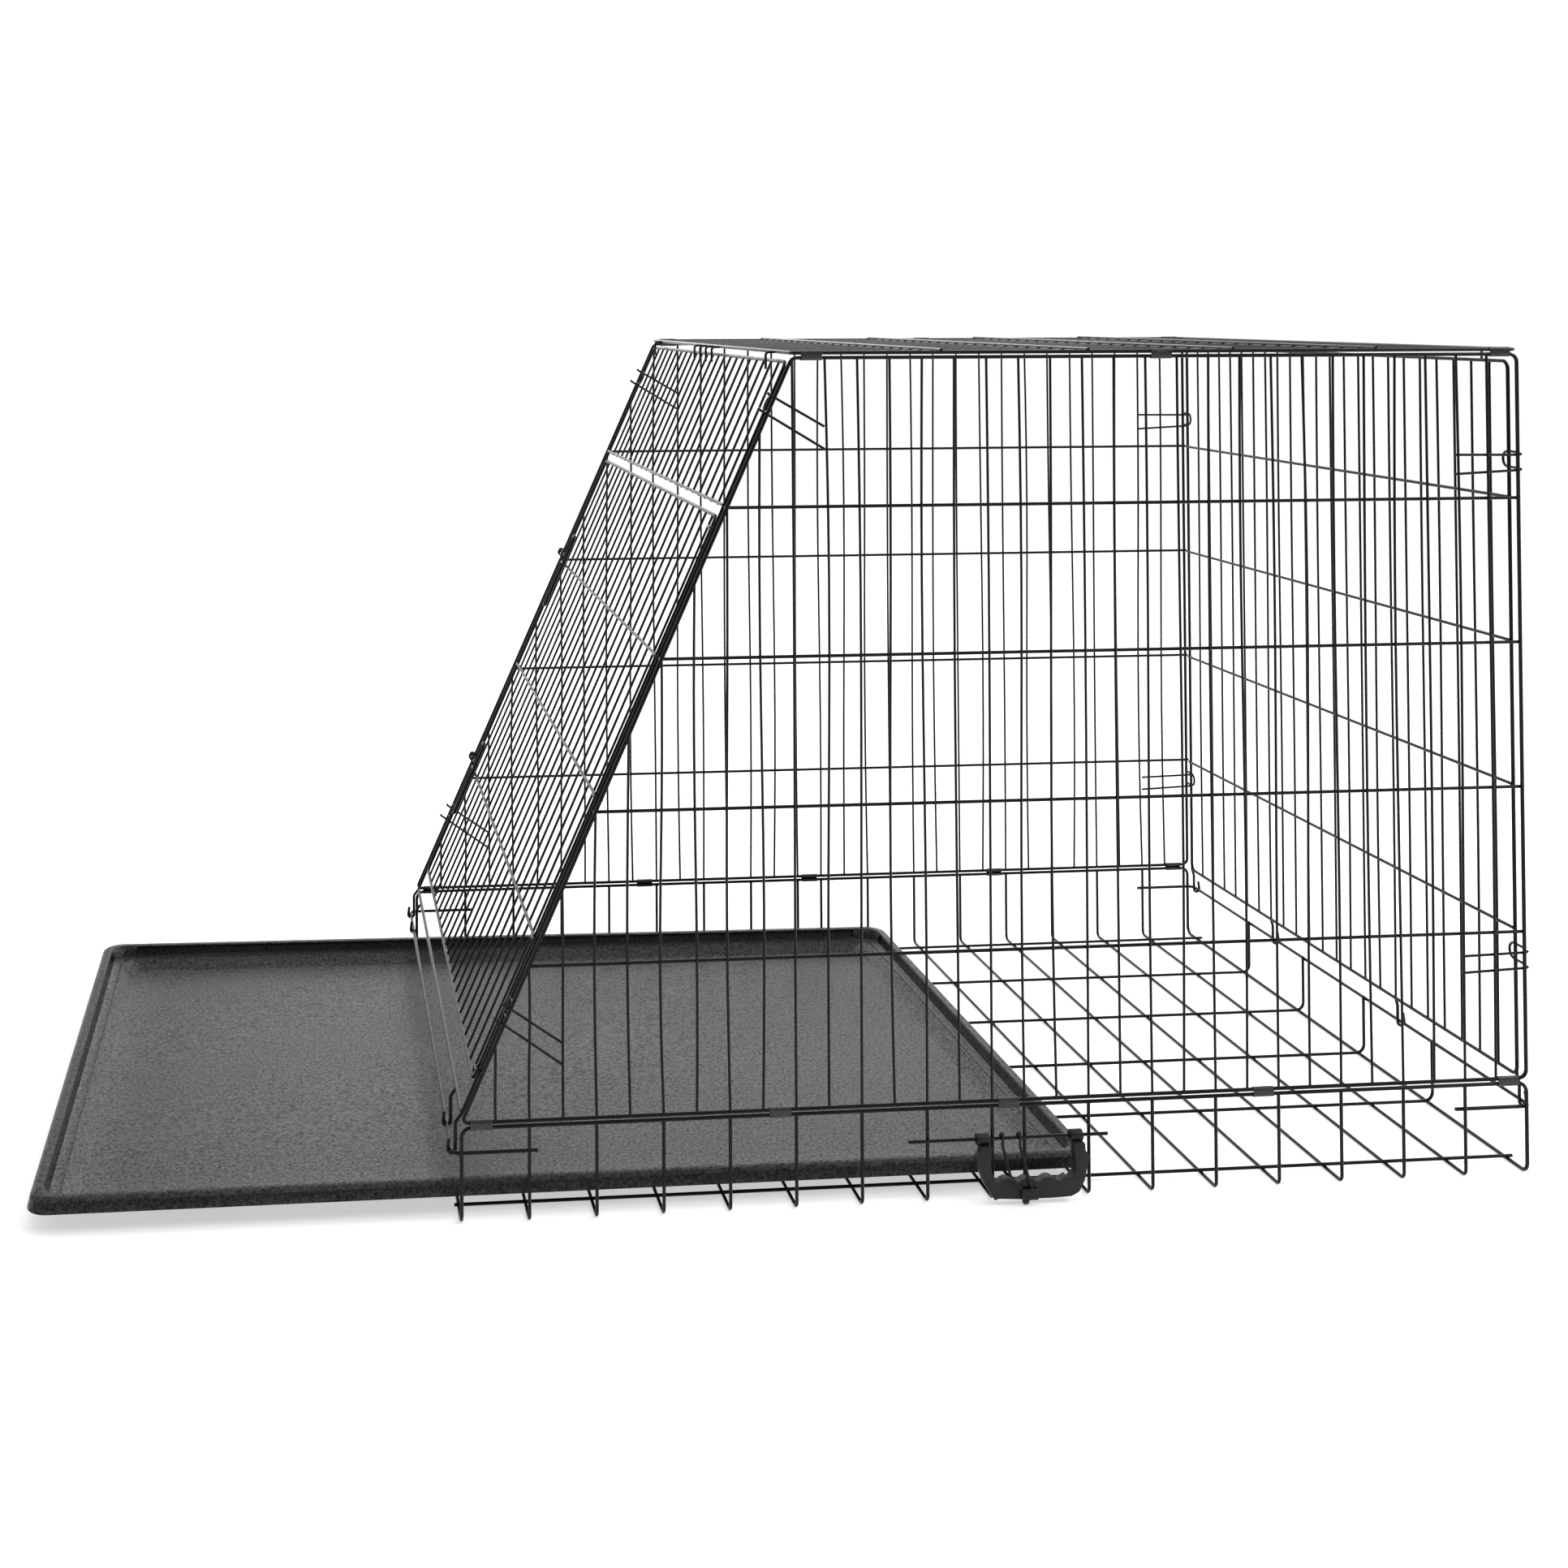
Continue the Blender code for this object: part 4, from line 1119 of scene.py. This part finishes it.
def makeRoom():
    world = bpy.data.worlds.new("softRoom")
    bpy.context.scene.world = world
    world.use_nodes = True
    nodes = world.node_tree.nodes
    sky = nodes["Background"]
    sky.inputs["Color"].default_value = (1, 1, 1, 1)
    split = nodes.new("ShaderNodeSeparateXYZ")
    feed(nodes.new("ShaderNodeTexCoord").outputs["Generated"], split.inputs["Vector"])
    behind = rangeOf(split.outputs["Y"], studio["frontRoom"], studio["surround"], *studio["backFrom"])
    above = rangeOf(split.outputs["Z"], studio["frontRoom"], studio["ceiling"], *studio["ceilingFrom"])
    brighter = nodes.new("ShaderNodeMath")
    brighter.operation = "MAXIMUM"
    feed(behind, brighter.inputs[0])
    feed(above, brighter.inputs[1])
    feed(brighter.outputs["Value"], sky.inputs["Strength"])


def makeLamps():
    for name, (place, target, size, power) in studio["lamps"].items():
        light = bpy.data.lights.new(name, "AREA")
        light.shape = "RECTANGLE"
        light.size, light.size_y = size
        light.energy = power
        lamp = bpy.data.objects.new(name, light)
        lamp.location = place
        lamp.rotation_euler = (Vector(target) - Vector(place)).to_track_quat("-Z", "Y").to_euler()
        bpy.context.scene.collection.objects.link(lamp)


makeGround()
makeRoom()
makeLamps()
bpy.context.scene.view_settings.view_transform = "Standard"
print("lit the studio with", len(studio["lamps"]), "lamps")


# The photograph's viewpoint in the cage's own frame, with its turns in degrees
photoView = {
    "at": (-0.125, -1.897, 0.747),
    "yaw": 5.38,
    "pitch": 1.13,
    "roll": -0.17,
    "lens": 44.1,
    "sensor": 36,
    "shift": (0.189, -0.327),
}


def makeCamera():
    yaw, lift, roll = [radians(photoView[turn]) for turn in ("yaw", "pitch", "roll")]
    ahead = Vector((sin(yaw) * cos(lift), cos(yaw) * cos(lift), sin(lift)))
    level = Vector((cos(yaw), -sin(yaw), 0))
    above = level.cross(ahead)
    right, up = level * cos(roll) + above * sin(roll), above * cos(roll) - level * sin(roll)
    view = bpy.data.cameras.new("camera")
    view.lens = photoView["lens"]
    view.sensor_width = photoView["sensor"]
    view.sensor_fit = "HORIZONTAL"
    view.shift_x, view.shift_y = photoView["shift"]
    view.clip_end = 100
    eye = bpy.data.objects.new("camera", view)
    turned = Matrix((right, up, -ahead)).transposed().to_4x4()
    eye.matrix_world = Matrix.Translation(cageAt + Vector(photoView["at"])) @ turned
    bpy.context.scene.collection.objects.link(eye)
    bpy.context.scene.camera = eye
    print("set the camera at the photograph's viewpoint")


makeCamera()
